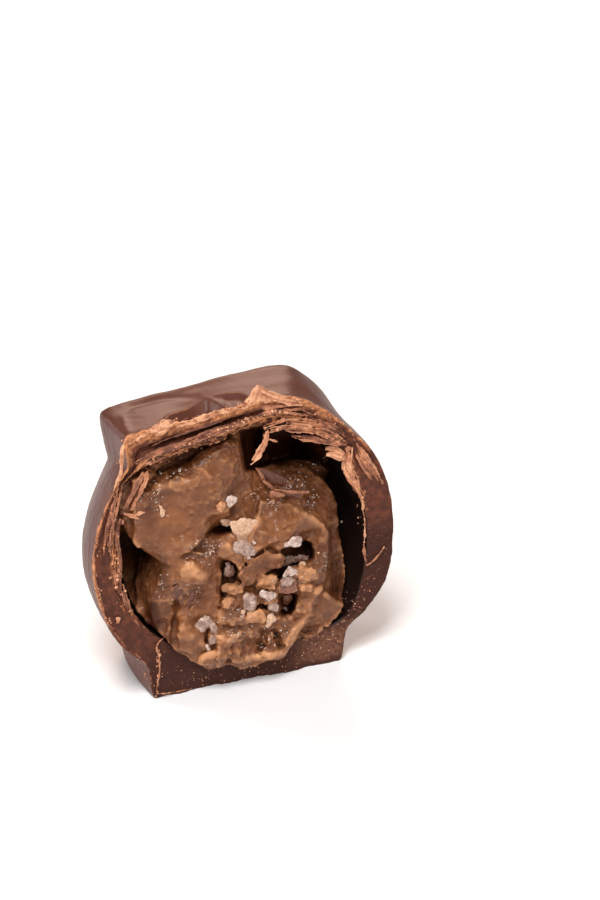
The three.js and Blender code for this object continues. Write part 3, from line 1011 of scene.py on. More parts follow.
    def _place(self, row: np.ndarray, turn: np.ndarray) -> np.ndarray:
        """Places the vertices of the skin, the rim and the hollow."""
        form = self.form
        lean, across, hollow_lean = self._params(row, turn)
        outer = form.outer(turn, lean)
        cavity = form.cavity(turn, hollow_lean)
        heart = np.array(form.heart)
        on_skin = heart + form.ways(turn, lean) * outer[:, None]
        in_hollow = heart + form.ways(turn, hollow_lean) * cavity[:, None]
        forward, outward, _, _ = self._rim(turn, across)
        edge = form.outer(turn, np.zeros(len(turn)))
        mouth = form.cavity(turn, np.zeros(len(turn)))
        radius = edge + (mouth - edge) * across + outward
        on_rim = form.on_ring(turn, radius, forward)
        skin_rows = (row < self.outer_rows)[:, None]
        hollow_rows = (row >= self.outer_rows + self.rim_rows)[:, None]
        start = form.on_ring(turn, edge, np.zeros(len(turn)))
        first = form.on_ring(turn, edge + outward, forward)
        fade = hump(np.linalg.norm(on_skin - start, axis=1) / 0.5)[:, None]
        skin = on_skin + (first - start) * fade
        inner_start = form.on_ring(turn, mouth, np.zeros(len(turn)))
        last = form.on_ring(turn, mouth + outward, forward)
        inner_fade = hump(np.linalg.norm(in_hollow - inner_start, axis=1) / 0.6)[:, None]
        hollow = in_hollow + (last - inner_start) * inner_fade
        return np.where(skin_rows, skin, np.where(hollow_rows, hollow, on_rim))

    @staticmethod
    def _near(places: np.ndarray, path: Sequence[Pair], width: float) -> np.ndarray:
        """How near places are to a fold's path from above: 1 on it, fading over its width."""
        away, share = along_path(places[:, :2], path)
        return np.sin(np.pi * np.clip(share, 0.04, 0.96)) ** 0.5 * hump(away / width)

    def _skin_relief(self, places: np.ndarray) -> np.ndarray:
        """How far the outer skin is lifted by its ridges, wrinkles and dents."""
        rise = 0.12 * Grain.layers(places, 5.0, 31, 2) + 0.02 * Grain.layers(places, 0.9, 33, 2)
        left = ease(*self.left_from, places[:, 0])
        wrinkles = Grain.ridged(places * np.array([1.0, 1.0, 0.28]), 1.1, 37, 3)
        rise = rise + 0.06 * left * (wrinkles - 0.3)
        top = ease(*self.top_from, places[:, 2])
        rise = rise + 0.05 * top * Grain.smooth(places * np.array([0.35, 1.0, 1.0]), 1.6, 39)
        for height, width, _, path in self.folds:
            rise = rise + height * top * self._near(places, path, width)
        for height, slope, outline in self.dishes:
            rise = (
                rise
                + height * top * ease(
                    0.0, slope, inside_outline(places[:, 0], places[:, 1], outline, 0.0)
                )
            )
        return rise

    def _painted_lip_highlight(self, places: np.ndarray) -> np.ndarray:
        """How strong the painted highlight is along the lips of the dishes, in the rim's pale
        colours.
        """
        pale = np.zeros(len(places))
        for _, width, highlight_share, path in self.folds:
            pale = np.maximum(pale, highlight_share * self._near(places, path, width))
        return pale * ease(*self.lip_highlight_from, places[:, 2])

    def build(self, material: bpy.types.Material) -> bpy.types.Object:
        """Models the shell and dresses it.

        Args:
            material: the chocolate's finish.

        Returns:
            The finished shell, which stands for the solid of the same name.
        """
        form = self.form
        rows = self.outer_rows + self.rim_rows + self.inner_rows
        straight_back = np.array([90.0])
        heart = np.array(form.heart)
        back = heart + np.array([0.0, form.outer(np.zeros(1), straight_back)[0], 0.0])
        hollow_back = heart + np.array([0.0, form.cavity(np.zeros(1), straight_back)[0], 0.0])
        piece, row, turn = press_ball(
            "truffle_shell", self.segments, rows, self._place, back, hollow_back
        )
        places = Bench.coords(piece)
        ways = Bench.normals(piece)
        lean, across, _ = self._params(row, turn)
        on_skin = row < self.outer_rows
        calm = ease(0.0, 0.8, places[:, 2]) * ease(0.0, 1.6, lean)
        # painted highlight along the lips of the dishes
        lip_highlight = np.where(on_skin, self._painted_lip_highlight(places), 0.0)
        lift = np.where(on_skin, self._skin_relief(places) * calm, 0.0)
        in_hollow = row >= self.outer_rows + self.rim_rows
        lift = lift + np.where(in_hollow, 0.08 * Grain.layers(places, 1.4, 51, 3), 0.0)
        places = places + ways * lift[:, None]
        places[:, 2] = np.maximum(places[:, 2], 0.0)
        Bench.move(piece, places)
        _, _, pale, cracked = self._rim(turn, across)
        rim = np.where(on_skin, 0.0, 1.0)
        near_edge = np.where(on_skin, hump(lean / 1.2), 1.0)
        Bench.note(piece, "rim", rim)
        into_hollow = np.where(
            in_hollow, np.exp(-(row - self.outer_rows - self.rim_rows) / 2.0), 1.0
        )
        # the pale note: pale torn chocolate round the rim with the painted lit band, and painted
        # highlights along the dish lips
        Bench.note(piece, "pale", np.maximum(pale * near_edge * into_hollow, lip_highlight))
        Bench.note(piece, "snapped", self.snapped(turn) * rim * np.where(in_hollow, 0.0, 1.0))
        # painted light: the lower right of the cut and snapped face is lightened
        lower_right = (
            ease(4.0, 9.0, places[:, 0]) * ease(6.5, 3.5, places[:, 2])
            * ease(0.2, 1.2, places[:, 2])
        )
        Bench.note(piece, "painted_light", 0.6 * lower_right * rim * np.where(in_hollow, 0.0, 1.0))
        # painted shade: the hollow's wall and the cracks in the rim are noted for near-black
        Bench.note(
            piece,
            "hollow",
            np.where(in_hollow, 1.0, np.where(on_skin, 0.0, ease(0.3, 0.8, cracked))),
        )
        Bench.finish(piece, material, "chocolate_shell")
        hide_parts("shell")
        return piece


# ---- The filling ---------------------------------------------------------------------------------


@dataclass(frozen=True)
class Form:
    """A broad form of the filling's face: its middle from the heart, its spread and its rise."""

    middle: Pair
    spread: float
    forward: float


@dataclass(frozen=True)
class Slab:
    """Filling raised or sunk inside an outline, with a clean or a ragged edge."""

    outline: tuple[Pair, ...]
    rise: float
    edge: float = 0.3
    ragged: float = 0.15

    def carve(self, right: np.ndarray, up: np.ndarray) -> np.ndarray:
        """How far the slab lifts places on the face."""
        return (
            self.rise
            * ease(-self.edge, self.edge, inside_outline(right, up, self.outline, self.ragged))
        )


@dataclass(frozen=True)
class Stroke:
    """A ridge or a groove along a path, as a knife or a finger leaves it."""

    path: tuple[Pair, ...]
    width: float
    rise: float

    def carve(self, right: np.ndarray, up: np.ndarray) -> np.ndarray:
        """How far the stroke lifts places on the face."""
        near = np.zeros(len(right))
        corners = np.asarray(self.path, float)
        low, high = corners.min(axis=0) - 3 * self.width, corners.max(axis=0) + 3 * self.width
        close = (right > low[0]) & (right < high[0]) & (up > low[1]) & (up < high[1])
        away, share = along_path(np.stack([right[close], up[close]], axis=1), self.path)
        taper = clamp(np.minimum(share, 1.0 - share) * 5.0 + 0.25)
        near[close] = self.rise * taper * hump(away / self.width)
        return near


@dataclass(frozen=True)
class Lump:
    """A rounded lump or dent: its middle, half sizes, tilt and rise."""

    middle: Pair
    radii: Pair
    rise: float
    tilt: float = 0.0
    sharpness: float = 1.0

    def carve(self, right: np.ndarray, up: np.ndarray) -> np.ndarray:
        """How far the lump lifts places on the face."""
        angle = math.radians(self.tilt)
        across, along = right - self.middle[0], up - self.middle[1]
        x = (across * math.cos(angle) + along * math.sin(angle)) / self.radii[0]
        y = (-across * math.sin(angle) + along * math.cos(angle)) / self.radii[1]
        return self.rise * np.exp(-((x * x + y * y) ** self.sharpness))


@dataclass(frozen=True)
class Space:
    """Where the filling has drawn back from the wall."""

    turn: float
    spread: float
    width: float
    depth: float


@dataclass
class Filling:
    """The soft filling: a pressed ball worked over like clay."""

    form: TruffleForm
    segments: int = 220
    front_rows: int = 60
    side_rows: int = 12
    back_rows: int = 26
    noise_radius: float = 15.0
    clearance: float = 0.15
    side_depths: Pair = (9.0, 6.0)
    # depths behind the cut face where painted shade begins and is full
    painted_shade_depths: Pair = (1.5, 5.5)
    voxel: float = 0.2
    fine_voxel: float = 0.172
    hidden_depth: float = 6.0
    deep_from: float = -1.5
    deepest: float = -2.6
    most_triangles: int = 190000
    rest: float = -0.9
    sag_turn: float = 264.0
    sag_spread: float = 34.0
    sag_reach: float = 16.6
    sag_forward: float = 1.3
    smear_turn: float = 303.0
    smear_spread: float = 13.0
    smear_reach: float = 17.4
    smear_forward: float = 0.35
    brinks: tuple[Point, ...] = (
        (240.0, 9.0, -0.9), (254.0, 4.0, 0.5), (262.0, 4.0, -0.5), (271.0, 5.0, 0.3),
        (285.5, 4.0, 1.0), (293.0, 4.0, -0.6),
    )
    spaces: tuple[Space, ...] = (
        Space(192, 20, 5.0, 8.0),
        Space(350, 29, 2.4, 8.5),
        Space(50, 24, 6.4, 7.0),
        Space(118, 24, 1.2, 2.0),
    )
    forms: tuple[Form, ...] = (
        Form((-6.0, 6.5), 7.5, 1.6),
        Form((-3.0, 11.0), 3.6, 0.9),
        Form((8.5, 6.0), 6.2, -3.6),
        Form((5.0, 11.0), 4.5, -2.6),
        Form((7.8, 4.2), 3.0, 1.1),
        Form((1.5, -3.0), 7.5, 2.4),
        Form((5.6, 0.6), 3.2, 1.4),
        Form((-7.0, -2.0), 3.5, 0.9),
        Form((1.0, -13.0), 6.5, 1.3),
        Form((-3.2, 2.6), 1.5, -1.6),
        Form((7.4, -2.4), 1.6, -2.0),
        Form((5.4, -9.4), 1.5, -1.8),
        Form((-2.6, -3.2), 1.6, -1.2),
        Form((2.8, -13.2), 1.3, -1.6),
    )
    facing: Point = TO_VIEWER
    drawn_ahead: float = 6.7
    bulge_rounds: int = 14
    bulge_share: float = 3.0
    bulge_least: float = 0.12
    # slabs that sink deeper than deep_from are also painted in shade in _work_over
    slabs: tuple[Slab, ...] = (
        # the broad lobe at the upper left, with its cliff to the right
        Slab(((-16, -9), (-16, 14.4), (-11, 14.6), (-9, 15.2), (-7.5, 16.4), (-5, 17.5),
            (-3.0, 16.5), (-2.6, 14.6), (-2.3, 13), (-1.9, 12.3), (-2.3, 11.5), (-3.0, 11.0),
            (-3.9, 10.6), (-4.15, 8.4), (-4.2, 7.4), (-5.2, 7.2), (-6.4, 6.7), (-7.0, 5.6),
            (-7.8, 4.6), (-9.4, 3.4), (-10.6, 2.4), (-11.8, -9)), 1.1, 0.24, 0.2),
        # the drop to the right of the lobe's top
        Slab(((-3.0, 18), (-2.6, 14.4), (-2.2, 13.0), (-1.0, 12.9), (0.6, 13.1), (3.0, 13.3),
            (5.2, 12.9), (6.9, 12.2), (8.6, 10.6), (9.9, 9.2), (12, 8.6), (12, 18)), -7.0, 0.4),
        # the lower left body that ends in an upright step
        Slab(((-10.8, -9), (-10.6, 2.2), (-9.4, 3.0), (-8, 3.6), (-6.2, 3.4), (-5.5, 2.2),
            (-5.4, -1), (-5.5, -3.1), (-6, -4.6), (-6.2, -9), (-8.5, -10.4)), 0.9, 0.24, 0.2),
        # the shadow under the pale crisp
        Slab(((-7.0, 5.6), (-6.2, 6.2), (-5.2, 6.4), (-4.2, 6.4), (-3.0, 5.6), (-2.6, 4.6),
            (-4.0, 5.2), (-5.5, 5.3)), -2.6, 0.3, 0.1),
        # the hollow between the step and the torn flakes
        Slab(((-5.35, 2.0), (-4.5, 1.6), (-3.7, 0.9), (-3.4, -0.1), (-3.3, -1.2), (-2.4, -1.6),
            (-1.4, -2.4), (-2.4, -2.5), (-3.6, -1.9), (-4.4, -1.8), (-4.8, -3.0), (-5.4, -3.4)),
            -1.7, 0.2, 0.3),
        # the hollow under the torn flakes, which stand clear of it along their right edges
        Slab(((-1.9, 1.9), (-0.6, 2.0), (0.4, 2.3), (1.4, 1.7), (2.4, 1.2), (2.9, 0.2), (2.4, -1.0),
            (2.2, -2.2), (1.6, -3.2), (0.6, -3.6), (-1.2, -3.3), (-2.6, -2.6), (-3.3, -1.4),
            (-2.9, -0.2), (-2.3, 0.8)), -0.9, 0.3),
        # the fold on the right
        Slab(((-0.6, 8.7), (0.8, 8.5), (2.2, 7.9), (3.3, 7.1), (4.4, 6.3), (5.7, 5.4), (6.7, 4.7),
            (7.4, 3.8), (7.9, 2.8), (8.2, 1.4), (8.2, -0.6), (7.9, -2.4), (7.5, -3.8), (6.7, -5.0),
            (6.0, -7.0), (5.2, -8.6), (4.2, -10.1), (3.9, -11.4), (3.0, -12.4), (1, -13.4),
            (-3, -13), (-6, -12.6), (-6, -6), (-4, -2), (-2.2, 3), (-1.2, 6)), 1.2, 0.26, 0.15),
        # the black mouth under the crystal and its lower right end
        Slab(((2.0, 1.5), (2.8, 1.9), (3.7, 2.0), (4.3, 1.9), (4.9, 2.0), (5.6, 1.4), (6.0, 0.6),
            (5.8, -0.2), (5.4, -0.7), (4.4, -0.6), (3.8, -1.1), (3.0, -0.9), (2.4, -0.6),
            (2.3, 0.4)), -3.6, 0.2, 0.4),
        # the crack between the two torn flakes
        Slab(((0.1, -0.6), (1.0, -0.6), (1.9, -0.7), (2.6, -0.4), (2.7, -1.3), (2.3, -2.2),
            (1.7, -2.3), (1.4, -1.4), (0.3, -1.1)), -3.0, 0.2),
        # holes at the lower right
        Slab(((1.8, -4.4), (2.7, -4.4), (3.8, -4.6), (3.8, -5.6), (3.7, -6.5), (3.0, -7.4),
            (2.1, -7.3), (1.7, -6.8), (2.2, -6.2), (1.9, -5.5)), -2.6, 0.2, 0.4),
        # where the filling drew back from the wall at the lower right
        Slab(((7.9, -1.2), (8.6, -0.2), (10.6, -0.2), (11.0, -4.0), (10.2, -6.6), (8.8, -6.6),
            (7.9, -5.4), (7.6, -3.4)), -1.3, 0.7, 0.2),
        # the two gaps between the folds at the foot
        Slab(((-0.5, -8.3), (0.1, -8.6), (0.2, -9.6), (-0.1, -11.6), (-0.9, -11.4), (-0.8, -10.2)),
            -1.45, 0.2, 0.25),
        Slab(((1.0, -9.0), (1.5, -9.4), (2.1, -11.4), (1.6, -11.7), (1.2, -10.6)), -1.6, 0.15, 0.2),
        # the tan lobe at the lower left and the dish beside the lobes' foot
        Slab(((-8.4, -11.3), (-7.7, -10.4), (-6.4, -9.8), (-5.2, -9.3), (-4.4, -9.7), (-4.2, -10.7),
            (-4.8, -11.6), (-5.8, -12.3), (-7.0, -12.6)), 0.7, 0.22),
        Slab(((4.4, -9.9), (5.4, -9.6), (6.6, -9.7), (7.3, -10.3), (6.2, -10.9), (5.2, -11.4),
            (4.4, -12.2), (3.6, -12.0), (3.9, -10.8)), -1.0, 0.25),
        # the little hole beside the round crisp
        Slab(((-1.2, -5.0), (-0.3, -5.0), (0.4, -5.3), (0.4, -5.9), (-0.5, -5.8), (-1.2, -5.8)),
            -2.2, 0.2),
        # the slit in the pale cluster at the lower left
        Slab(((-7.1, -6.7), (-6.9, -7.4), (-6.8, -8.2), (-7.0, -9.4), (-7.6, -8.6), (-7.4, -7.5)),
            -1.6, 0.2),
    )
    strokes: tuple[Stroke, ...] = (
        # the shadowed trench where the filling drew away from the shell's inner layer
        Stroke(((-14.6, 12.6), (-12.8, 14.6), (-10.6, 15.5), (-8.8, 15.8), (-7.4, 16.3)), 0.8,
            -1.8),
        Stroke(((-13.4, 13.2), (-12.8, 12.2), (-13.2, 11.0)), 0.5, 0.4),
        Stroke(((-14.2, 12.2), (-12.6, 13.5), (-10.6, 14.2), (-8.6, 14.3)), 0.8, -0.9),
        # smears across the upper lobe
        Stroke(((-12, 12.6), (-8, 12.9), (-4.5, 13.6)), 0.5, 0.10),
        Stroke(((-11, 9.2), (-8, 9.6), (-5.2, 9.0)), 0.7, -0.12),
        Stroke(((-8.9, 8.9), (-8.2, 9.2)), 0.2, 0.25),
        Stroke(((-10.2, 7.2), (-8.4, 7.6), (-6.6, 8.3)), 0.35, -0.16),
        Stroke(((-8, 14.6), (-6.2, 12.8), (-5.4, 11.2)), 0.5, 0.14),
        Stroke(((-3.5, 15.6), (-3.1, 13.6), (-2.7, 12.4)), 0.35, 0.2),
        Stroke(((-12.5, 8), (-11.4, 6.4), (-11.2, 4)), 0.8, 0.2),
        # wrinkles over the tan lump
        Stroke(((-9.6, 3.1), (-8.9, 3.5), (-7.9, 3.2), (-7.3, 2.2), (-6.9, 1.2)), 0.22, 0.34),
        Stroke(((-7.6, 4.4), (-6.9, 4.1), (-6.3, 3.1), (-6.6, 2.2)), 0.2, 0.3),
        Stroke(((-8.2, 4.9), (-7.4, 4.9), (-6.5, 4.3)), 0.22, 0.24),
        Stroke(((-9.0, 4.2), (-8.2, 4.2)), 0.2, -0.2),
        # the dark sheets at the left
        Stroke(((-11.9, -0.7), (-10.9, -0.4), (-9.6, -0.3)), 0.25, -0.35),
        Stroke(((-10.9, -1.2), (-10.4, -2.2), (-10.6, -3.0)), 0.28, 0.4),
        Stroke(((-9.7, -0.8), (-9.4, -2.0), (-9.8, -3.3)), 0.25, 0.45),
        Stroke(((-8.9, -1.2), (-8.7, -2.4), (-9.2, -3.6)), 0.25, -0.5),
        Stroke(((-8.6, -1.0), (-8.1, -2.0), (-8.2, -3.0)), 0.22, 0.35),
        Stroke(((-11.2, -4.0), (-9.5, -4.3), (-8.2, -4.0)), 0.25, -0.2),
        # ridges under the lobe
        Stroke(((-1.9, 10.2), (-1.0, 9.4), (-0.3, 8.6)), 0.22, 0.3),
        Stroke(((-3.9, 8.4), (-3.9, 7.4)), 0.3, -0.45),
        Stroke(((-0.9, 4.6), (0.6, 4.0), (2.2, 3.6)), 0.3, 0.22),
        Stroke(((1.9, 4.0), (2.8, 4.4), (3.6, 4.8)), 0.14, -0.5),
        Stroke(((0.2, 6.8), (1.6, 5.6), (3.8, 4.9)), 0.5, 0.18),
        Stroke(((-1.5, 2.3), (0.4, 2.6), (2.0, 3.3)), 0.3, 0.3),
        Stroke(((-1.0, 1.6), (0.8, 2.2), (2.2, 2.6)), 0.2, -0.3),
        # the fold's rolled edge and its tab
        Stroke(((2.6, 7.5), (4.6, 6.0), (6.3, 4.8), (7.3, 3.3), (7.8, 1.4), (7.8, -0.6)), 0.42,
            0.3),
        Stroke(((6.1, 3.0), (6.4, 2.0), (6.2, 1.0)), 0.22, -0.45),
        Stroke(((5.2, 2.4), (5.7, 1.6), (6.0, 0.9)), 0.25, 0.5),
        Stroke(((6.6, 0.9), (7.3, 0.3), (7.7, 0.6)), 0.3, -0.35),
        # wet crests on the low right body
        Stroke(((7.1, -0.9), (7.6, -1.4), (7.3, -2.0)), 0.25, 0.35),
        Stroke(((5.0, -1.6), (5.9, -1.3), (6.7, -1.9)), 0.3, 0.3),
        Stroke(((4.3, -2.8), (5.3, -2.4), (6.2, -2.8)), 0.3, 0.2),
        Stroke(((4.1, -3.6), (4.4, -4.3), (5.2, -4.4)), 0.25, 0.3),
        Stroke(((3.9, -6.0), (4.3, -5.6), (5.1, -5.3)), 0.3, 0.3),
        Stroke(((3.6, -7.3), (4.0, -7.8), (4.1, -8.4)), 0.2, -0.3),
        Stroke(((2.9, -7.6), (3.6, -8.6), (3.2, -9.6)), 0.4, 0.25),
        # folds at the bottom left
        Stroke(((-6.4, -8.7), (-5.6, -8.4), (-4.9, -8.9), (-4.4, -9.6)), 0.35, 0.5),
        Stroke(((-4.7, -9.3), (-4.0, -8.6), (-3.2, -8.2), (-2.4, -8.0)), 0.3, 0.45),
        Stroke(((-5.6, -9.9), (-4.6, -10.2), (-3.9, -9.9)), 0.3, -0.5),
        Stroke(((-8.1, -10.7), (-6.8, -10.3), (-5.3, -10.6)), 0.4, 0.4),
        Stroke(((-4.7, -10.4), (-4.6, -11.2), (-4.4, -12.2)), 0.35, -0.7),
        Stroke(((-3.9, -10.6), (-3.3, -10.9), (-3.0, -11.7)), 0.4, 0.35),
        Stroke(((-2.5, -10.4), (-2.7, -11.4), (-2.4, -12.3)), 0.25, -0.45),
        Stroke(((-2.6, -11.7), (-1.0, -12.0), (0.6, -12.3), (2.0, -12.6), (2.6, -11.9),
            (2.9, -11.0), (3.6, -9.8), (4.4, -9.0), (5.1, -8.4)), 0.34, 0.7),
        Stroke(((-6.2, -10.9), (-5.4, -10.6), (-4.8, -10.6)), 0.2, -0.6),
        Stroke(((-2.6, -9.2), (-1.6, -9.9), (-0.9, -10.5)), 0.5, -0.35),
        Stroke(((0.3, -8.9), (0.5, -10.0), (0.6, -11.2)), 0.22, 0.6),
        Stroke(((-3.6, -4.6), (-3.0, -5.4), (-2.2, -5.9), (-1.2, -5.8)), 0.3, -0.35),
        Stroke(((-5.2, -5.3), (-4.2, -5.0), (-3.3, -5.4)), 0.25, 0.3),
        Stroke(((-5.0, -6.4), (-3.9, -6.6), (-2.8, -6.2)), 0.3, 0.25),
        Stroke(((-3.0, -7.0), (-1.8, -6.5), (-0.9, -6.2)), 0.35, 0.35),
        Stroke(((-5.3, -7.5), (-4.2, -7.3), (-3.5, -7.6)), 0.25, -0.3),
        # wet ripples on the right lobe
        Stroke(((4.9, 7.8), (5.5, 7.1), (6.0, 6.3)), 0.2, 0.3),
        Stroke(((5.9, 7.9), (6.3, 7.2), (6.5, 6.5)), 0.2, 0.25),
        Stroke(((3.2, 7.9), (4.4, 7.3), (5.3, 6.4)), 0.3, 0.2),
    )
    lumps: tuple[Lump, ...] = (
        Lump((-9.2, 1.3), (1.5, 1.25), 0.75, -30, 2.0),
        Lump((-8.0, 0.4), (0.9, 0.8), 0.4, 0, 1.5),
        Lump((-8.2, 12.0), (2.5, 1.4), 0.25, 10),
        Lump((-6.0, 10.0), (2.2, 1.6), 0.2, 0),
        Lump((-11.6, 10.6), (1.2, 2.2), -0.35, 0),
        Lump((-9.3, 6.6), (1.6, 0.8), -0.35, 25),
        Lump((-2.4, 9.2), (1.6, 1.0), -0.5, -30),
        Lump((-2.8, 7.9), (1.3, 0.6), -0.5, 0),
        Lump((-5.1, 4.2), (1.2, 0.7), 0.35, 20),
        Lump((-0.2, 4.0), (0.6, 0.7), 0.4, 0, 1.5),
        Lump((1.2, 7.4), (1.6, 1.1), 0.3, -30, 1.5),
        Lump((3.4, 10.2), (2.3, 1.1), 0.7, -25, 1.6),
        Lump((5.4, 2.9), (1.4, 1.1), -0.5, 20),
        Lump((3.6, 5.8), (1.3, 0.8), 0.3, -20),
        Lump((1.2, -4.9), (0.9, 0.7), 0.8, -20, 1.6),
        Lump((-4.6, 0.2), (0.5, 0.9), 0.9, 0, 1.6),
        Lump((-4.3, -1.0), (0.5, 0.4), 0.6, 0, 1.6),
        Lump((2.6, -5.3), (0.7, 0.6), 0.9, 0, 1.6),
        Lump((5.7, -6.6), (2.0, 1.6), 0.2, 0),
        Lump((-8.8, -7.4), (1.8, 1.6), 0.15, 0),
        Lump((-1.9, -9.0), (1.3, 0.8), 0.3, 10),
        Lump((2.6, -9.9), (0.8, 1.1), 0.4, 0, 1.5),
        Lump((-6.6, -11.2), (1.4, 0.7), 0.35, 0, 1.5),
        Lump((-3.4, -11.4), (0.7, 0.8), 0.3, 0, 1.5),
        Lump((8.6, -8.4), (1.2, 0.8), -0.2, 0),
    )
    wet_places: tuple[Lump, ...] = (
        Lump((-11.0, 13.9), (1.5, 0.5), 1.0, 12),
        Lump((-8.0, 3.2), (1.6, 1.0), 1.0, -30),
        Lump((-6.6, 3.6), (0.6, 1.3), 1.0, 0),
        Lump((-10.6, -1.2), (0.9, 0.9), 1.0, 0),
        Lump((-8.6, -2.0), (0.6, 0.9), 0.9, 0),
        Lump((1.3, 7.9), (1.4, 0.9), 1.0, -20),
        Lump((3.4, 10.1), (2.0, 1.1), 1.0, -25),
        Lump((5.7, 7.2), (0.8, 1.0), 0.8, 0),
        Lump((-3.4, -8.4), (1.4, 0.6), 1.0, 25),
        Lump((-3.0, -5.8), (1.6, 0.9), 0.8, 0),
        Lump((7.4, -1.6), (0.5, 0.9), 0.9, 0),
        Lump((-1.0, 9.4), (0.9, 0.8), 0.6, -40),
        Lump((2.9, -2.4), (1.5, 1.0), 0.8, 0),
        Lump((6.6, 12.2), (0.9, 0.6), 0.8, 0),
        Lump((-13.2, 11.4), (0.9, 1.2), 1.0, 0),
        Lump((2.4, -9.0), (1.0, 0.8), 0.6, 0),
        Lump((-12.6, 0.0), (0.5, 0.9), 0.7, 0),
        Lump((0.8, -10.0), (1.0, 1.4), 0.5, 0),
    )
    # places painted in shade, in a deeper orange: shaded lobe tops, the trench and the sides by the
    # wall
    painted_shade_places: tuple[Lump, ...] = (
        Lump((4.6, 9.4), (4.6, 3.6), 0.52, -30, 2.0),
        Lump((8.6, 3.0), (1.3, 5.4), 0.75, 0, 2.0),
        Lump((8.8, -3.6), (1.0, 4.0), 0.8, 0, 2.0),
        Lump((-0.6, 7.4), (2.4, 1.6), 0.35, 0),
        Lump((-12.2, -5.6), (1.4, 3.4), 0.5, 0),
        Lump((-11.8, 14.6), (3.6, 0.9), 0.8, 12),
        Lump((-13.8, 11.0), (1.2, 2.6), 0.6, 0),
        Lump((7.4, -7.6), (1.3, 2.6), 0.45, -15),
        Lump((6.4, -11.6), (2.2, 1.8), 0.5, 0),
        Lump((-6.0, 16.6), (2.6, 1.0), 1.0, 0, 2.0),
        Lump((-9.6, 14.8), (4.2, 1.1), 0.9, 14, 2.0),
        Lump((-9.2, -2.4), (2.0, 1.8), 0.45, 0, 1.5),
        Lump((-11.2, 13.7), (3.2, 1.0), 0.7, 12, 1.5),
        Lump((-7.8, -4.2), (1.8, 1.8), 0.35, 0, 1.5),
        Lump((7.4, 3.2), (0.7, 2.2), 0.45, 15),
        Lump((-1.2, 7.4), (1.6, 1.0), 0.4, 0, 1.5),
        Lump((-12.6, 1.6), (1.0, 3.0), 0.7, 0, 2.0),
        Lump((-13.8, -4.4), (1.0, 4.0), 1.0, 0, 2.0),
        Lump((-6.9, 9.6), (2.0, 1.2), 0.25, 0),
    )
    tan_places: tuple[Lump, ...] = (
        Lump((-9.2, 1.2), (1.5, 1.3), 0.78, -30, 2.5),
        Lump((-8.0, 0.3), (0.9, 0.7), 0.7, 0, 2.0),
        Lump((-5.2, 8.8), (0.5, 0.7), 0.6, 0),
        Lump((-6.8, -10.5), (1.5, 0.4), 0.9, 0, 1.5),
        Lump((-5.6, -8.7), (0.7, 0.5), 0.9, 0, 1.5),
        Lump((0.4, -12.3), (3.1, 0.6), 1.0, -4, 2.0),
        Lump((3.6, -10.4), (0.9, 2.3), 1.0, -33, 2.0),
        Lump((4.6, 6.0), (2.4, 0.5), 0.4, -36),
        Lump((-4.0, -9.0), (0.8, 0.3), 0.7, 40),
        Lump((5.0, -1.9), (1.2, 0.8), 0.7, 0),
        Lump((4.6, -4.1), (0.6, 0.6), 0.6, 0),
        Lump((-4.2, 3.6), (0.9, 0.9), 0.6, 0),
        Lump((-3.2, 1.9), (0.5, 0.8), 0.7, 0),
        Lump((-3.0, -1.9), (1.0, 0.4), 0.6, 15),
        Lump((0.4, -2.2), (1.5, 0.7), 0.8, 0),
        Lump((-1.4, -6.1), (0.9, 0.4), 0.7, 15),
        Lump((4.0, -6.1), (0.5, 0.5), 0.7, 0),
    )

    def forward(self, right: np.ndarray, up: np.ndarray) -> np.ndarray:
        """How far the filling's face stands in front of the cut face."""
        total = np.full(len(right), self.rest)
        for form in self.forms:
            away = np.hypot(right - form.middle[0], up - form.middle[1]) / form.spread
            total = total + form.forward * hump(away)
        return total

    def _space(self, turn: np.ndarray) -> tuple[np.ndarray, np.ndarray]:
        """The width and the depth of the space between the filling and the wall."""
        width = np.full(len(turn), self.form.fit_gap)
        depth = np.full(len(turn), 1.2)
        for space in self.spaces:
            share = bell(turn, space.turn, space.spread)
            width = width + space.width * share
            depth = depth + space.depth * share
        return width, depth

    def _place(self, row: np.ndarray, turn: np.ndarray) -> np.ndarray:
        """Places the vertices of the back, the sides and the face."""
        form = self.form
        width, depth = self._space(turn)
        sag = ease(0.25, 0.75, bell(turn, self.sag_turn, self.sag_spread))
        zero = np.zeros(len(turn))
        mouth = form.cavity(turn, zero) - form.fit_gap
        t = np.radians(turn)
        arc = np.stack([np.cos(t), np.sin(t), zero], axis=-1) * self.noise_radius
        reach = self.sag_reach + 0.35 * Grain.layers(arc, 2.0, 61, 2)
        for middle, spread, rise in self.brinks:
            reach = reach + rise * bell(turn, middle, spread)
        smear = ease(0.2, 0.7, bell(turn, self.smear_turn, self.smear_spread)) * (1.0 - sag)
        reach = reach + (self.smear_reach + 0.5 * Grain.layers(arc, 1.2, 63, 3) - reach) * smear
        least = self.sag_forward + (self.smear_forward - self.sag_forward) * ease(0.0, 0.4, smear)
        sag = np.maximum(sag, smear)
        edge = (mouth + form.fit_gap - width) * (1.0 - sag) + reach * sag
        over = edge > mouth
        depth = np.where(over, 0.5, depth * (1.0 - sag) + 0.6 * sag)
        neck = np.degrees(np.arcsin(np.clip(depth / mouth, 0.0, 0.99)))
        neck = np.where(over, 2.0, neck)
        back = clamp((row + 1) / self.back_rows)
        lean = 90.0 + (neck - 90.0) * back
        wall = form.cavity(turn, lean) - form.fit_gap
        on_wall = np.array(form.heart) + form.ways(turn, lean) * wall[:, None]
        front = clamp((row - self.back_rows - self.side_rows) / self.front_rows)
        across = 1.0 - front
        radius = edge * across**0.85 * 0.97
        stands = self.forward(radius * np.cos(t), radius * np.sin(t))
        share = ease(0.0, 0.12, sag) * ease(0.55, 0.85, across)
        stands = stands + (np.maximum(stands, least) - stands) * share
        stands = stands - np.where(over, np.minimum(0.5, least - 0.1), 0.5) * ease(0.8, 1.0, across)
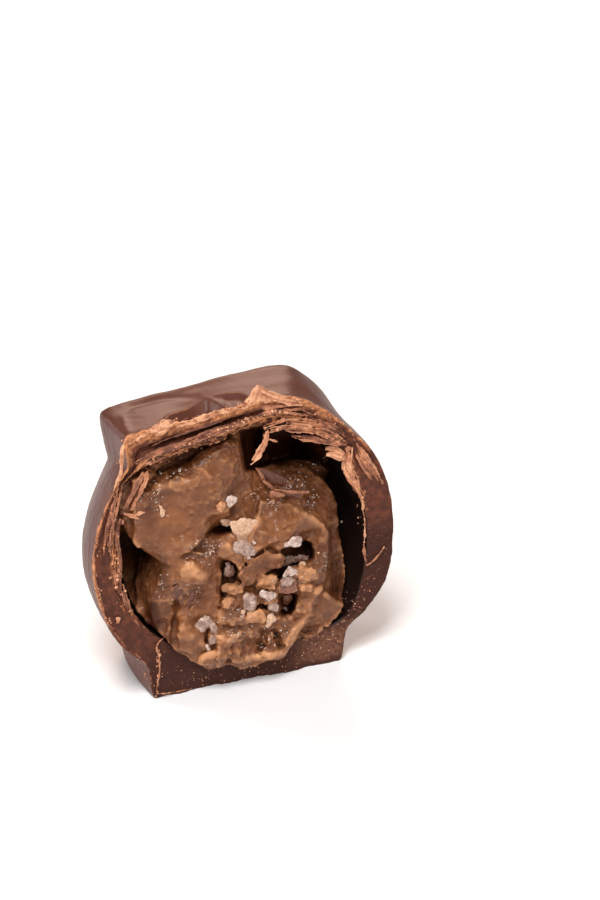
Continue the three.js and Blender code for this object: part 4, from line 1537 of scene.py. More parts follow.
        on_face = form.on_ring(turn, radius, stands)
        rim_radius = edge * 0.97
        rim_stands = self.forward(rim_radius * np.cos(t), rim_radius * np.sin(t))
        rim_share = ease(0.0, 0.12, sag)
        rim_stands = rim_stands + (np.maximum(rim_stands, least) - rim_stands) * rim_share
        rim_stands = rim_stands - np.where(over, np.minimum(0.5, least - 0.1), 0.5)
        side = clamp((row + 1 - self.back_rows) / (self.side_rows + 1))
        clear = form.fit_gap + self.clearance
        side_forward = -depth + (rim_stands + depth) * side
        room = form.cavity_radius(turn, -side_forward) - form.fit_gap - 0.05
        side_radius = np.minimum(edge + 0.3 * (1.0 - side), room)
        loose = form.on_ring(turn, side_radius, side_forward)
        inward = ease(0.0, 0.75, side)
        sag_radius = (mouth - self.clearance) + (edge - mouth + self.clearance) * inward
        sag_side = clear + (np.maximum(rim_stands, clear + 0.3) - clear) * ease(0.7, 1.0, side)
        sagging = form.on_ring(turn, sag_radius, sag_side)
        on_side = np.where(over[:, None], sagging, loose)
        is_back = (row < self.back_rows)[:, None]
        is_front = (row >= self.back_rows + self.side_rows)[:, None]
        return np.where(is_back, on_wall, np.where(is_front, on_face, on_side))

    def sight(self, places: np.ndarray) -> tuple[np.ndarray, np.ndarray]:
        """Where places fall, along the way the face is worked, on the drawn plane."""
        way = np.array(self.facing)
        run = (places[:, 1] - self.form.cut_y + self.drawn_ahead) / -way[1]
        right = places[:, 0] - self.form.heart[0] + run * way[0]
        up = places[:, 2] - self.form.heart[2] + run * way[2]
        return right, up

    def _towards(self, piece: bpy.types.Object) -> np.ndarray:
        """How squarely each vertex faces the tool, 0 on the sides and the back."""
        depth = Bench.coords(piece)[:, 1] - self.form.cut_y
        squarely = ease(0.0, 0.35, Bench.normals(piece) @ np.array(self.facing))
        return squarely * ease(*self.side_depths, depth)

    def _keep_in(self, piece: bpy.types.Object) -> None:
        """Keeps what lies behind the cut plane inside the hollow."""
        form = self.form
        places = Bench.coords(piece)
        across, up = places[:, 0] - form.heart[0], places[:, 2] - form.heart[2]
        depth = places[:, 1] - form.cut_y
        turn = np.degrees(np.arctan2(up, across)) % 360.0
        radius = np.hypot(across, up)
        room = form.cavity_radius(turn, depth) - self.clearance
        share = np.where((depth > -0.05) & (radius > room), room / np.maximum(radius, 1e-6), 1.0)
        places[:, 0] = form.heart[0] + across * share
        places[:, 2] = form.heart[2] + up * share
        Bench.move(piece, places)

    def _carve(self, piece: bpy.types.Object) -> None:
        """Works the broad shapes into the face: slabs, holes, strokes and lumps."""
        places = Bench.coords(piece)
        right, up = self.sight(places)
        lift = np.zeros(len(places))
        for mark in (*self.slabs, *self.strokes, *self.lumps):
            lift += mark.carve(right, up)
        moved = places + np.array(self.facing) * (lift * self._towards(piece))[:, None]
        Bench.move(piece, moved)

    @staticmethod
    def _strongest(marks: Sequence[Lump], right: np.ndarray, up: np.ndarray) -> np.ndarray:
        """How much the strongest of some marks does at each place, at least 0."""
        most = np.zeros(len(right))
        for mark in marks:
            most = np.maximum(most, mark.carve(right, up))
        return most

    def _thin_back(self, piece: bpy.types.Object) -> None:
        """Thins the mesh where the shell hides it, so that the face can keep its fine relief."""
        depth = Bench.coords(piece)[:, 1] - self.form.cut_y
        hidden = piece.vertex_groups.new(name="hidden")
        hidden.add(np.flatnonzero(depth > self.hidden_depth).tolist(), 1.0, "REPLACE")
        piece.data.calc_loop_triangles()
        share = min(1.0, self.most_triangles / len(piece.data.loop_triangles))
        Bench.apply(piece, "DECIMATE", ratio=share, vertex_group="hidden")
        piece.vertex_groups.clear()
        Bench.clean(piece)

    def _work_over(self, piece: bpy.types.Object, flakes: Sequence["Shard"]) -> None:
        """Works fine relief into the face and notes its crests, with painted highlight where it
        bulges out, its wet places, and its painted shade.
        """
        places = Bench.coords(piece)
        towards = self._towards(piece)
        right, up = self.sight(places)
        wet = self._strongest(self.wet_places, right, up)
        tan = self._strongest(self.tan_places, right, up)
        for flake in flakes:
            within = ease(-0.1, 0.1, inside_outline(right, up, flake.outline, 0.1))
            tan = np.maximum(tan, flake.crest * within)
        smeared = places * np.array([0.55, 1.0, 1.0])
        lumpy = Grain.layers(smeared, 2.6, 81, 2)
        middle = Grain.layers(smeared, 1.1, 83, 2)
        fine = Grain.layers(places, 0.45, 85, 2)
        worms = Grain.ridged(smeared, 0.8, 87, 2) - 0.4
        rough = ease(2.5, -4.0, up) * ease(-7.5, -4.0, right) * ease(8.0, 5.0, right)
        pitted = ease(7.0, 9.5, up) * ease(-2.0, -4.0, right)
        lift = (
            0.26 * lumpy + (0.22 + 0.22 * rough) * middle + (0.1 + 0.22 * wet + 0.14 * rough) * fine
        )
        lift = lift + (0.05 + 0.14 * pitted + 0.13 * rough + 0.13 * wet) * worms
        Bench.move(piece, places + Bench.normals(piece) * (towards * lift)[:, None])
        bulge = Bench.bulge(piece, self.bulge_rounds) * self.bulge_share
        bulge = np.sign(bulge) * np.maximum(np.abs(bulge) - self.bulge_least, 0.0)
        # the crest note: tan lumps and flakes, random tone, and painted highlight where the surface
        # bulges out
        crest = (
            0.15 * lumpy + 0.15 * middle + 0.06 * worms + tan + towards * np.clip(bulge, 0.0, 0.6)
        )
        Bench.note(piece, "crest", clamp(crest))
        # painted shade: deeper behind the cut face, in the deep slabs, on the shaded places and in
        # creases
        depth = places[:, 1] - self.form.cut_y
        hollow = np.zeros(len(places))
        for slab in self.slabs:
            if slab.rise < self.deep_from:
                hollow = np.maximum(hollow, slab.carve(right, up) / min(slab.rise, self.deepest))
        painted_shade_spots = self._strongest(self.painted_shade_places, right, up)
        painted_shade_spots = painted_shade_spots - 0.25 * clamp(middle + worms)
        shade = (
            np.maximum(0.7 * ease(*self.painted_shade_depths, depth) + 0.8 * hollow, painted_shade_spots)
            + 0.8 * np.clip(-bulge, 0.0, 0.7)
        )
        Bench.note(piece, "shade", clamp(shade))
        Bench.note(piece, "wet", wet * clamp(0.6 + 0.8 * middle))

    def build(self, material: bpy.types.Material, bits: "Bits") -> bpy.types.Object:
        """Models the filling and dresses it.

        Args:
            material: the filling's finish.
            bits: the bits, whose torn flakes of cream are worked into the face.

        Returns:
            The finished filling, which stands for the solid of the same name.
        """
        form = self.form
        rows = self.back_rows + self.side_rows + self.front_rows
        heart = np.array(form.heart)
        wall = form.cavity(np.zeros(1), np.array([90.0]))[0] - form.fit_gap
        back = heart + np.array([0.0, wall, 0.0])
        front = heart - np.array([0.0, self.forward(np.zeros(1), np.zeros(1))[0], 0.0])
        piece, _, _ = press_ball("truffle_filling", self.segments, rows, self._place, back, front)
        Bench.apply(piece, "REMESH", mode="VOXEL", voxel_size=self.voxel)
        self._carve(piece)
        self._keep_in(piece)
        bpy.context.view_layer.update()
        piece = Bench.join("truffle_filling", [piece, *bits.torn_cream(piece)])
        Bench.apply(piece, "REMESH", mode="VOXEL", voxel_size=self.fine_voxel)
        Bench.apply(piece, "SMOOTH", factor=0.5, iterations=1)
        self._thin_back(piece)
        self._work_over(piece, bits.flakes)
        self._keep_in(piece)
        Bench.finish(piece, material, "soft_filling")
        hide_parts("filling")
        return piece


# ---- Bits in the filling -------------------------------------------------------------------------


class Bit(Enum):
    """What a bit in the filling is made of."""

    CRISP = "crisp"
    CRYSTAL = "crystal"
    GLASSY = "glassy"
    CREAM = "soft_filling"
    TOFFEE = "toffee"
    CHIP = "chocolate_shaving"


@dataclass(frozen=True)
class Shard:
    """A bit with a drawn outline that lies on or in the filling."""

    kind: Bit
    outline: tuple[Pair, ...]
    thickness: float = 0.4
    lift: float = 0.1
    rough: float = 0.08
    lean: Pair = (0.0, 0.0)
    fineness: int = 5
    teeth: float = 0.6
    crest: float = 0.2


@dataclass
class Bits:
    """All the bits in the filling, grouped by what they are made of."""

    filling: Filling
    missed: float = -8.0
    shards: tuple[Shard, ...] = (
        # pale crisps and their neighbours
        Shard(Bit.CRISP, ((-4.1, 6.6), (-3.5, 6.5), (-2.9, 6.8), (-2.2, 6.45), (-1.3, 6.2),
            (-0.7, 5.55), (-0.5, 4.6), (-0.8, 3.7), (-1.7, 3.4), (-2.6, 3.5), (-3.3, 4.1),
            (-3.8, 4.9), (-4.1, 5.7)), 0.45, 0.6, 0.18),
        Shard(Bit.CRISP, ((-5.5, 6.9), (-5.3, 6.4), (-4.8, 6.15), (-4.2, 5.95), (-3.9, 6.3),
            (-4.4, 6.8), (-4.9, 7.15), (-5.3, 7.05)), 0.35, 0.45, 0.14),
        Shard(Bit.CRYSTAL, ((-4.8, 9.9), (-4.0, 9.95), (-3.3, 9.6), (-3.35, 9.0), (-3.8, 8.6),
            (-4.3, 8.35), (-4.7, 8.6), (-4.9, 9.3)), 0.4, 0.05, 0.07),
        Shard(Bit.TOFFEE, ((-5.9, 9.0), (-5.3, 9.5), (-4.8, 9.2), (-4.7, 8.5), (-5.2, 8.0),
            (-5.8, 8.3)), 0.45, 0.0, 0.08),
        Shard(Bit.CRISP, ((-12.75, 10.5), (-12.3, 10.1), (-12.0, 9.6), (-12.05, 9.0), (-12.4, 8.75),
            (-12.65, 9.2), (-12.6, 9.9)), 0.2, 0.2, 0.05),
        # wet crystals below the crisp
        Shard(Bit.GLASSY, ((-3.8, 3.0), (-3.7, 3.8), (-3.0, 4.0), (-2.2, 3.7), (-1.6, 3.1),
            (-1.0, 2.6), (-0.7, 2.0), (-1.2, 1.4), (-1.9, 1.6), (-2.9, 2.0), (-3.6, 2.3)), 0.7,
            0.15, 0.16),
        Shard(Bit.CRYSTAL, ((-1.6, 3.6), (-1.2, 3.5), (-0.95, 3.1), (-1.4, 2.95)), 0.3, 0.1, 0.06,
            fineness=4),
        Shard(Bit.CRYSTAL, ((-2.2, 1.7), (-1.8, 1.7), (-1.6, 1.2), (-2.1, 1.1)), 0.25, 0.1, 0.08,
            fineness=4),
        Shard(Bit.CRYSTAL, ((-3.8, 4.9), (-3.5, 5.0), (-3.3, 4.7), (-3.6, 4.5)), 0.2, 0.1, 0.05,
            fineness=4),
        # the crystal over the black mouth, and the one inside it
        Shard(Bit.CRYSTAL, ((2.0, 2.2), (2.3, 2.55), (2.9, 2.6), (3.4, 3.0), (4.1, 3.1), (4.6, 2.7),
            (4.7, 2.3), (4.4, 1.7), (4.1, 1.5), (3.5, 1.7), (2.9, 1.75), (2.3, 1.8)), 0.6, 1.25,
            0.14),
        Shard(Bit.GLASSY, ((1.9, -0.4), (2.4, 0.3), (2.9, 0.5), (3.6, 0.3), (4.4, 0.4), (5.3, 0.0),
            (5.4, -0.6), (4.5, -0.6), (3.7, -0.7), (2.9, -0.7), (2.3, -0.8)), 0.6, 1.5, 0.22),
        Shard(Bit.CRISP, ((6.4, 0.3), (6.7, 0.4), (6.9, 0.1), (6.6, -0.1)), 0.2, 0.1, 0.05,
            fineness=4),
        # torn flakes of cream between the holes
        Shard(Bit.CREAM, ((-1.9, 1.4), (-1.1, 1.3), (-0.3, 1.6), (0.3, 1.95), (0.8, 1.5),
            (1.3, 1.35), (2.0, 1.15), (2.3, 0.7), (2.85, 0.4), (2.4, 0.1), (2.1, -0.3), (2.2, -0.8),
            (1.6, -0.8), (1.1, -0.7), (0.4, -0.9), (-0.3, -1.2), (-1.1, -1.0), (-2.2, 0.0)), 0.26,
            0.85, 0.1, (0.08, 0.05), 6, 1.8, crest=0.05),
        Shard(Bit.CREAM, ((-2.2, 0.5), (-1.0, 0.7), (0.3, -0.6), (-0.3, -1.2), (-1.1, -1.8),
            (-1.5, -2.3), (-2.2, -2.4), (-2.7, -1.8), (-3.1, -1.4), (-3.4, -0.7), (-2.8, 0.0)),
            0.26, 0.85, 0.1, (0.0, 0.05), 6, 1.6, crest=0.1),
        Shard(Bit.CREAM, ((-0.9, -1.7), (-0.3, -1.2), (0.3, -1.45), (0.8, -1.2), (1.3, -1.6),
            (1.75, -2.2), (1.3, -2.5), (1.1, -3.0), (1.3, -3.4), (0.8, -3.5), (0.2, -3.3),
            (-0.5, -3.0), (-1.1, -3.1), (-1.3, -2.6)), 0.3, 0.75, 0.1, (0.0, 0.0), 6, 1.8,
            crest=0.35),
        Shard(Bit.CREAM, ((-5.6, 2.2), (-5.6, 3.5), (-4.6, 4.0), (-3.9, 3.5), (-3.5, 2.5),
            (-2.3, 1.7), (-2.0, 0.9), (-2.7, 0.1), (-3.3, 0.2), (-3.6, 0.9), (-4.3, 1.5),
            (-5.0, 1.7)), 0.4, 0.15, 0.12, crest=0.35),
        Shard(Bit.CREAM, ((-5.2, -1.6), (-4.5, -1.5), (-3.5, -1.5), (-2.5, -2.2), (-2.6, -3.1),
            (-3.6, -3.1), (-4.5, -2.7), (-5.2, -2.3)), 0.35, 0.9, 0.16, crest=0.4),
        # the cluster of wet crystals in the middle
        Shard(Bit.CRYSTAL, ((-0.8, -3.5), (-0.3, -3.1), (0.3, -3.4), (0.9, -3.6), (1.3, -4.0),
            (1.2, -4.6), (0.5, -5.2), (0.1, -4.4), (-0.5, -4.1)), 0.45, 0.45, 0.2),
        Shard(Bit.GLASSY, ((-2.8, -4.1), (-2.8, -3.4), (-2.2, -3.1), (-1.5, -3.3), (-1.0, -4.1),
            (-1.0, -5.0), (-1.3, -5.7), (-2.0, -5.7), (-2.6, -5.2)), 0.85, 0.2, 0.12),
        Shard(Bit.CRYSTAL, ((-2.0, -4.4), (-1.5, -4.2), (-1.1, -4.6), (-1.3, -5.1), (-1.8, -5.0)),
            0.3, 0.75, 0.1, fineness=4),
        Shard(Bit.GLASSY, ((0.3, -5.3), (0.8, -4.9), (1.4, -5.1), (1.8, -5.8), (1.6, -6.5),
            (1.0, -6.4), (0.4, -6.0)), 0.6, 0.15, 0.06),
        Shard(Bit.TOFFEE, ((-5.3, -3.7), (-4.9, -3.2), (-4.0, -3.3), (-3.7, -3.7), (-4.1, -4.3),
            (-4.5, -5.0), (-5.1, -4.5)), 0.5, 0.3, 0.1),
        # the white crystal and its tan neighbours on the right
        Shard(Bit.CHIP, ((1.5, -3.3), (1.9, -2.4), (2.3, -2.0), (3.2, -2.2), (3.6, -2.6),
            (4.0, -3.4), (4.1, -4.2), (3.4, -4.4), (2.6, -4.3), (1.9, -4.1)), 0.5, 0.3, 0.2),
        Shard(Bit.GLASSY, ((1.9, -2.5), (2.4, -1.9), (3.2, -2.1), (3.6, -2.7), (3.0, -3.2),
            (2.2, -3.2)), 0.4, 0.6, 0.18),
        Shard(Bit.CRYSTAL, ((2.8, -1.0), (2.9, -0.7), (3.3, -0.8), (3.6, -1.3), (3.9, -1.7),
            (3.6, -2.1), (3.2, -2.2), (2.8, -1.9), (2.2, -2.1), (2.4, -1.5)), 0.45, 0.75, 0.14),
        Shard(Bit.CREAM, ((3.7, -2.2), (4.0, -1.4), (4.3, -0.8), (4.9, -0.9), (5.0, -1.4),
            (5.7, -1.5), (6.3, -1.9), (6.7, -2.6), (6.7, -3.3), (5.9, -3.4), (5.0, -3.5),
            (4.2, -3.1)), 0.6, 0.25, 0.2, crest=0.5),
        Shard(Bit.CRISP, ((4.1, -0.8), (4.4, -0.4), (4.9, -0.55), (5.05, -1.15), (4.5, -1.25),
            (4.1, -1.1)), 0.35, 0.5, 0.1, fineness=4),
        Shard(Bit.CREAM, ((4.1, -3.5), (5.0, -3.5), (5.8, -3.8), (5.8, -4.5), (4.9, -4.7),
            (4.2, -4.5)), 0.5, 0.25, 0.16, crest=0.4),
        Shard(Bit.CRYSTAL, ((2.1, -6.4), (2.6, -6.2), (2.9, -6.7), (2.7, -7.0)), 0.25, 0.9, 0.08,
            fineness=4),
        Shard(Bit.CRISP, ((0.3, -6.8), (0.9, -6.5), (1.3, -7.1), (1.4, -7.7), (0.9, -8.0),
            (0.4, -8.4), (0.0, -8.1), (0.1, -7.4)), 0.45, 0.35, 0.1),
        Shard(Bit.CREAM, ((-2.1, -6.3), (-1.6, -5.9), (-0.4, -6.0), (0.1, -6.5), (0.0, -7.4),
            (-0.3, -8.0), (-0.7, -7.6), (-1.5, -7.4), (-2.0, -6.9)), 0.55, 0.25, 0.2, crest=0.4),
        Shard(Bit.CRISP, ((-3.0, -5.4), (-2.6, -5.2), (-2.3, -5.6), (-2.6, -6.1), (-3.0, -5.9)),
            0.25, 0.15, 0.08, fineness=4),
        # the claw-shaped cluster at the lower left
        Shard(Bit.GLASSY, ((-8.6, -6.4), (-8.2, -5.5), (-7.4, -5.1), (-6.7, -5.3), (-6.3, -6.3),
            (-6.9, -6.8), (-7.3, -7.4), (-8.1, -7.3)), 0.55, 0.15, 0.16),
        Shard(Bit.CRYSTAL, ((-8.1, -5.6), (-7.4, -5.15), (-6.8, -5.3), (-6.7, -5.8), (-7.4, -5.9)),
            0.3, 0.5, 0.16, fineness=4),
        Shard(Bit.GLASSY, ((-6.9, -6.6), (-6.3, -6.2), (-5.9, -7.2), (-5.9, -8.1), (-6.4, -8.0),
            (-6.8, -7.5)), 0.5, 0.2, 0.16),
        Shard(Bit.GLASSY, ((-7.0, -8.5), (-6.6, -8.1), (-6.1, -8.3), (-6.0, -9.1), (-6.6, -9.3),
            (-6.9, -8.9)), 0.4, 0.2, 0.14),
        Shard(Bit.CRYSTAL, ((-7.4, -9.1), (-7.1, -9.0), (-6.7, -9.8), (-6.9, -10.0), (-7.3, -9.8)),
            0.3, 0.2, 0.1, fineness=4),
        # wet dark chips
        Shard(Bit.CHIP, ((-11.6, -0.5), (-10.4, -0.3), (-9.7, -0.7), (-10.1, -1.6), (-9.7, -2.3),
            (-10.1, -3.5), (-10.7, -2.6), (-11.3, -2.2)), 0.3, -0.16, 0.26, crest=-0.35),
        Shard(Bit.CHIP, ((-9.4, -0.6), (-8.5, -1.1), (-8.3, -2.2), (-9.0, -3.3), (-9.4, -4.2),
            (-9.6, -2.8), (-9.2, -1.8)), 0.32, -0.12, 0.22, crest=-0.35),
        Shard(Bit.GLASSY, ((-4.95, 1.3), (-4.4, 1.3), (-3.9, 0.6), (-3.8, -0.2), (-4.3, -0.9),
            (-4.9, -0.6)), 0.6, 0.7, 0.2),
        Shard(Bit.CHIP, ((2.2, -4.7), (3.2, -4.7), (3.4, -5.5), (2.8, -6.0), (2.2, -5.7)), 0.4, 0.6,
            0.14),
        # the dark sheet on the right lobe, its rough pale edge, its lower rim and a lump
        Shard(Bit.CHIP, ((-0.9, 12.9), (0.3, 12.4), (1.5, 11.6), (2.6, 10.7), (3.4, 9.9),
            (3.7, 9.1), (2.4, 9.0), (1.3, 9.4), (0.5, 10.4), (-0.2, 11.6)), 0.22, 0.36, 0.08,
            crest=-0.6),
        Shard(Bit.CHIP, ((-1.15, 12.95), (-0.6, 12.6), (-0.15, 11.8), (0.15, 10.9), (-0.25, 10.8),
            (-0.7, 11.7)), 0.32, 0.7, 0.1, crest=0.8),
        Shard(Bit.CHIP, ((-0.1, 11.2), (0.5, 10.6), (1.35, 9.6), (1.1, 9.35), (0.3, 10.3),
            (-0.3, 10.9)), 0.32, 0.7, 0.1, crest=0.7),
        Shard(Bit.CHIP, ((1.1, 9.75), (2.5, 9.3), (3.9, 8.9), (5.5, 8.6), (5.5, 8.2), (3.9, 8.45),
            (2.5, 8.85), (1.2, 9.35)), 0.35, 0.7, 0.1, crest=0.7),
        Shard(Bit.CHIP, ((2.4, 9.0), (3.7, 8.6), (4.9, 8.4), (4.8, 8.0), (4.3, 7.7), (3.1, 8.1),
            (2.4, 8.5)), 0.4, 0.35, 0.14, crest=-0.1),
        Shard(Bit.CHIP, ((0.6, 9.2), (0.9, 9.5), (1.7, 9.2), (2.4, 8.8), (2.4, 8.5), (1.4, 8.3),
            (0.7, 8.6)), 0.4, 0.6, 0.1, crest=0.7),
        # a small pale drop on the side of the right lobe
        Shard(Bit.CRYSTAL, ((9.4, 3.7), (9.7, 3.75), (9.8, 3.4), (9.5, 3.3)), 0.2, 0.1, 0.03,
            fineness=3),
    )

    @property
    def flakes(self) -> list[Shard]:
        """The bits that are torn cream, which belong to the filling itself."""
        return [shard for shard in self.shards if shard.kind is Bit.CREAM]

    def torn_cream(self, body: bpy.types.Object) -> list[bpy.types.Object]:
        """Models the torn flakes of cream on the filling's unfinished body, in millimetres."""
        return [self._model(shard, index, (body,), 1.0) for index, shard in enumerate(self.flakes)]

    def _reach(
        self, right: float, up: float, targets: Sequence[bpy.types.Object], scale: float
    ) -> float:
        """How far along the way the face is worked a surface lies from the drawn plane."""
        start = self.filling.form.at(right, up, self.filling.drawn_ahead)
        landed = Bench.land(start, self.filling.facing, targets, scale)
        if landed is None:
            return self.missed
        return float((landed - start) @ np.array(self.filling.facing))

    def _model(
        self, shard: Shard, index: int, targets: Sequence[bpy.types.Object], scale: float = MM
    ) -> bpy.types.Object:
        """Models one bit: a pebble pressed into its outline and laid on what is under it."""
        corners = np.asarray(shard.outline, float)
        middle = corners.mean(axis=0)
        piece = Bench.pebble(f"bit_{index}", shard.fineness)
        ball = Bench.coords(piece)
        angle = np.arctan2(ball[:, 1], ball[:, 0])
        flat = np.hypot(ball[:, 0], ball[:, 1])
        edge = self._edge(corners - middle, angle)
        rim = np.stack(
            [np.cos(angle) * edge, np.sin(angle) * edge, 0 * angle + 7.0 * index], axis=1
        )
        edge = (
            edge
            + shard.rough * (
                1.2 * Grain.layers(rim, 0.7, 91, 3) + shard.teeth * Grain.layers(rim, 0.3, 92, 2)
            )
        )
        across = (
            middle + np.stack([np.cos(angle), np.sin(angle)], axis=1) * (edge * flat**0.8)[:, None]
        )
        thick = np.sign(ball[:, 2]) * np.abs(ball[:, 2]) ** 0.7 * shard.thickness
        reach = self._reach(middle[0], middle[1], targets, scale)
        tilt = (across - middle) @ np.array(shard.lean)
        form = self.filling.form
        base = np.array([form.at(r, u, self.filling.drawn_ahead) for r, u in across])
        way = unit(np.array(self.filling.facing))
        places = base + way * (reach + shard.lift + thick + tilt)[:, None]
        outward = unit(places - places.mean(axis=0))
        coarse = Grain.layers(places, 0.9, 93 + index, 2)
        fine = Grain.layers(places, 0.32, 95 + index, 2)
        Bench.move(piece, places + outward * (shard.rough * (1.1 * coarse + 0.6 * fine))[:, None])
        if shard.kind is Bit.CREAM:
            return piece
        at_edge = ease(0.72, 0.97, flat)
        Bench.note(piece, "crest", clamp(shard.crest + 0.9 * at_edge + 0.25 * coarse))
        return piece

    @staticmethod
    def _edge(corners: np.ndarray, angle: np.ndarray) -> np.ndarray:
        """How far an outline is from its middle in each direction."""
        reach = np.zeros(len(angle))
        ways = np.stack([np.cos(angle), np.sin(angle)], axis=1)
        for start, end in zip(corners, np.roll(corners, -1, axis=0)):
            run = end - start
            cross = ways[:, 0] * run[1] - ways[:, 1] * run[0]
            cross = np.where(np.abs(cross) < 1e-9, 1e-9, cross)
            distance = (start[0] * run[1] - start[1] * run[0]) / cross
            share = (start[0] * ways[:, 1] - start[1] * ways[:, 0]) / cross
            meets = (distance > 0) & (share >= -1e-6) & (share <= 1 + 1e-6)
            reach = np.where(meets, np.maximum(reach, distance), reach)
        return reach

    def build(
        self, finishes: dict[Bit, bpy.types.Material], targets: Sequence[bpy.types.Object]
    ) -> None:
        """Models the bits and dresses them, one mesh for each kind.

        Args:
            finishes: the finish of each kind.
            targets: the surfaces that the bits lie on.
        """
        slots = {
            Bit.CRISP: "crisp",
            Bit.CRYSTAL: "crystal",
            Bit.GLASSY: "crystal",
            Bit.TOFFEE: "soft_filling",
            Bit.CHIP: "chocolate_shaving",
        }
        groups: dict[Bit, list[bpy.types.Object]] = {kind: [] for kind in slots}
        for index, shard in enumerate(self.shards):
            if shard.kind in groups:
                groups[shard.kind].append(self._model(shard, index, targets))
        for kind, pieces in groups.items():
            piece = Bench.join(f"bits_of_{kind.name.lower()}", pieces)
            Bench.finish(piece, finishes[kind], slots[kind])


# ---- Shavings round the rim ----------------------------------------------------------------------


@dataclass(frozen=True)
class Shaving:
    """A scraped strand on a path given from the heart: right, up and in front of the cut face."""

    path: tuple[Point, ...]
    width: float
    thickness: float
    strands: int = 1
    ragged: float = 0.5
    ends: Pair = (0.3, 0.1)
    tone: float = 0.5


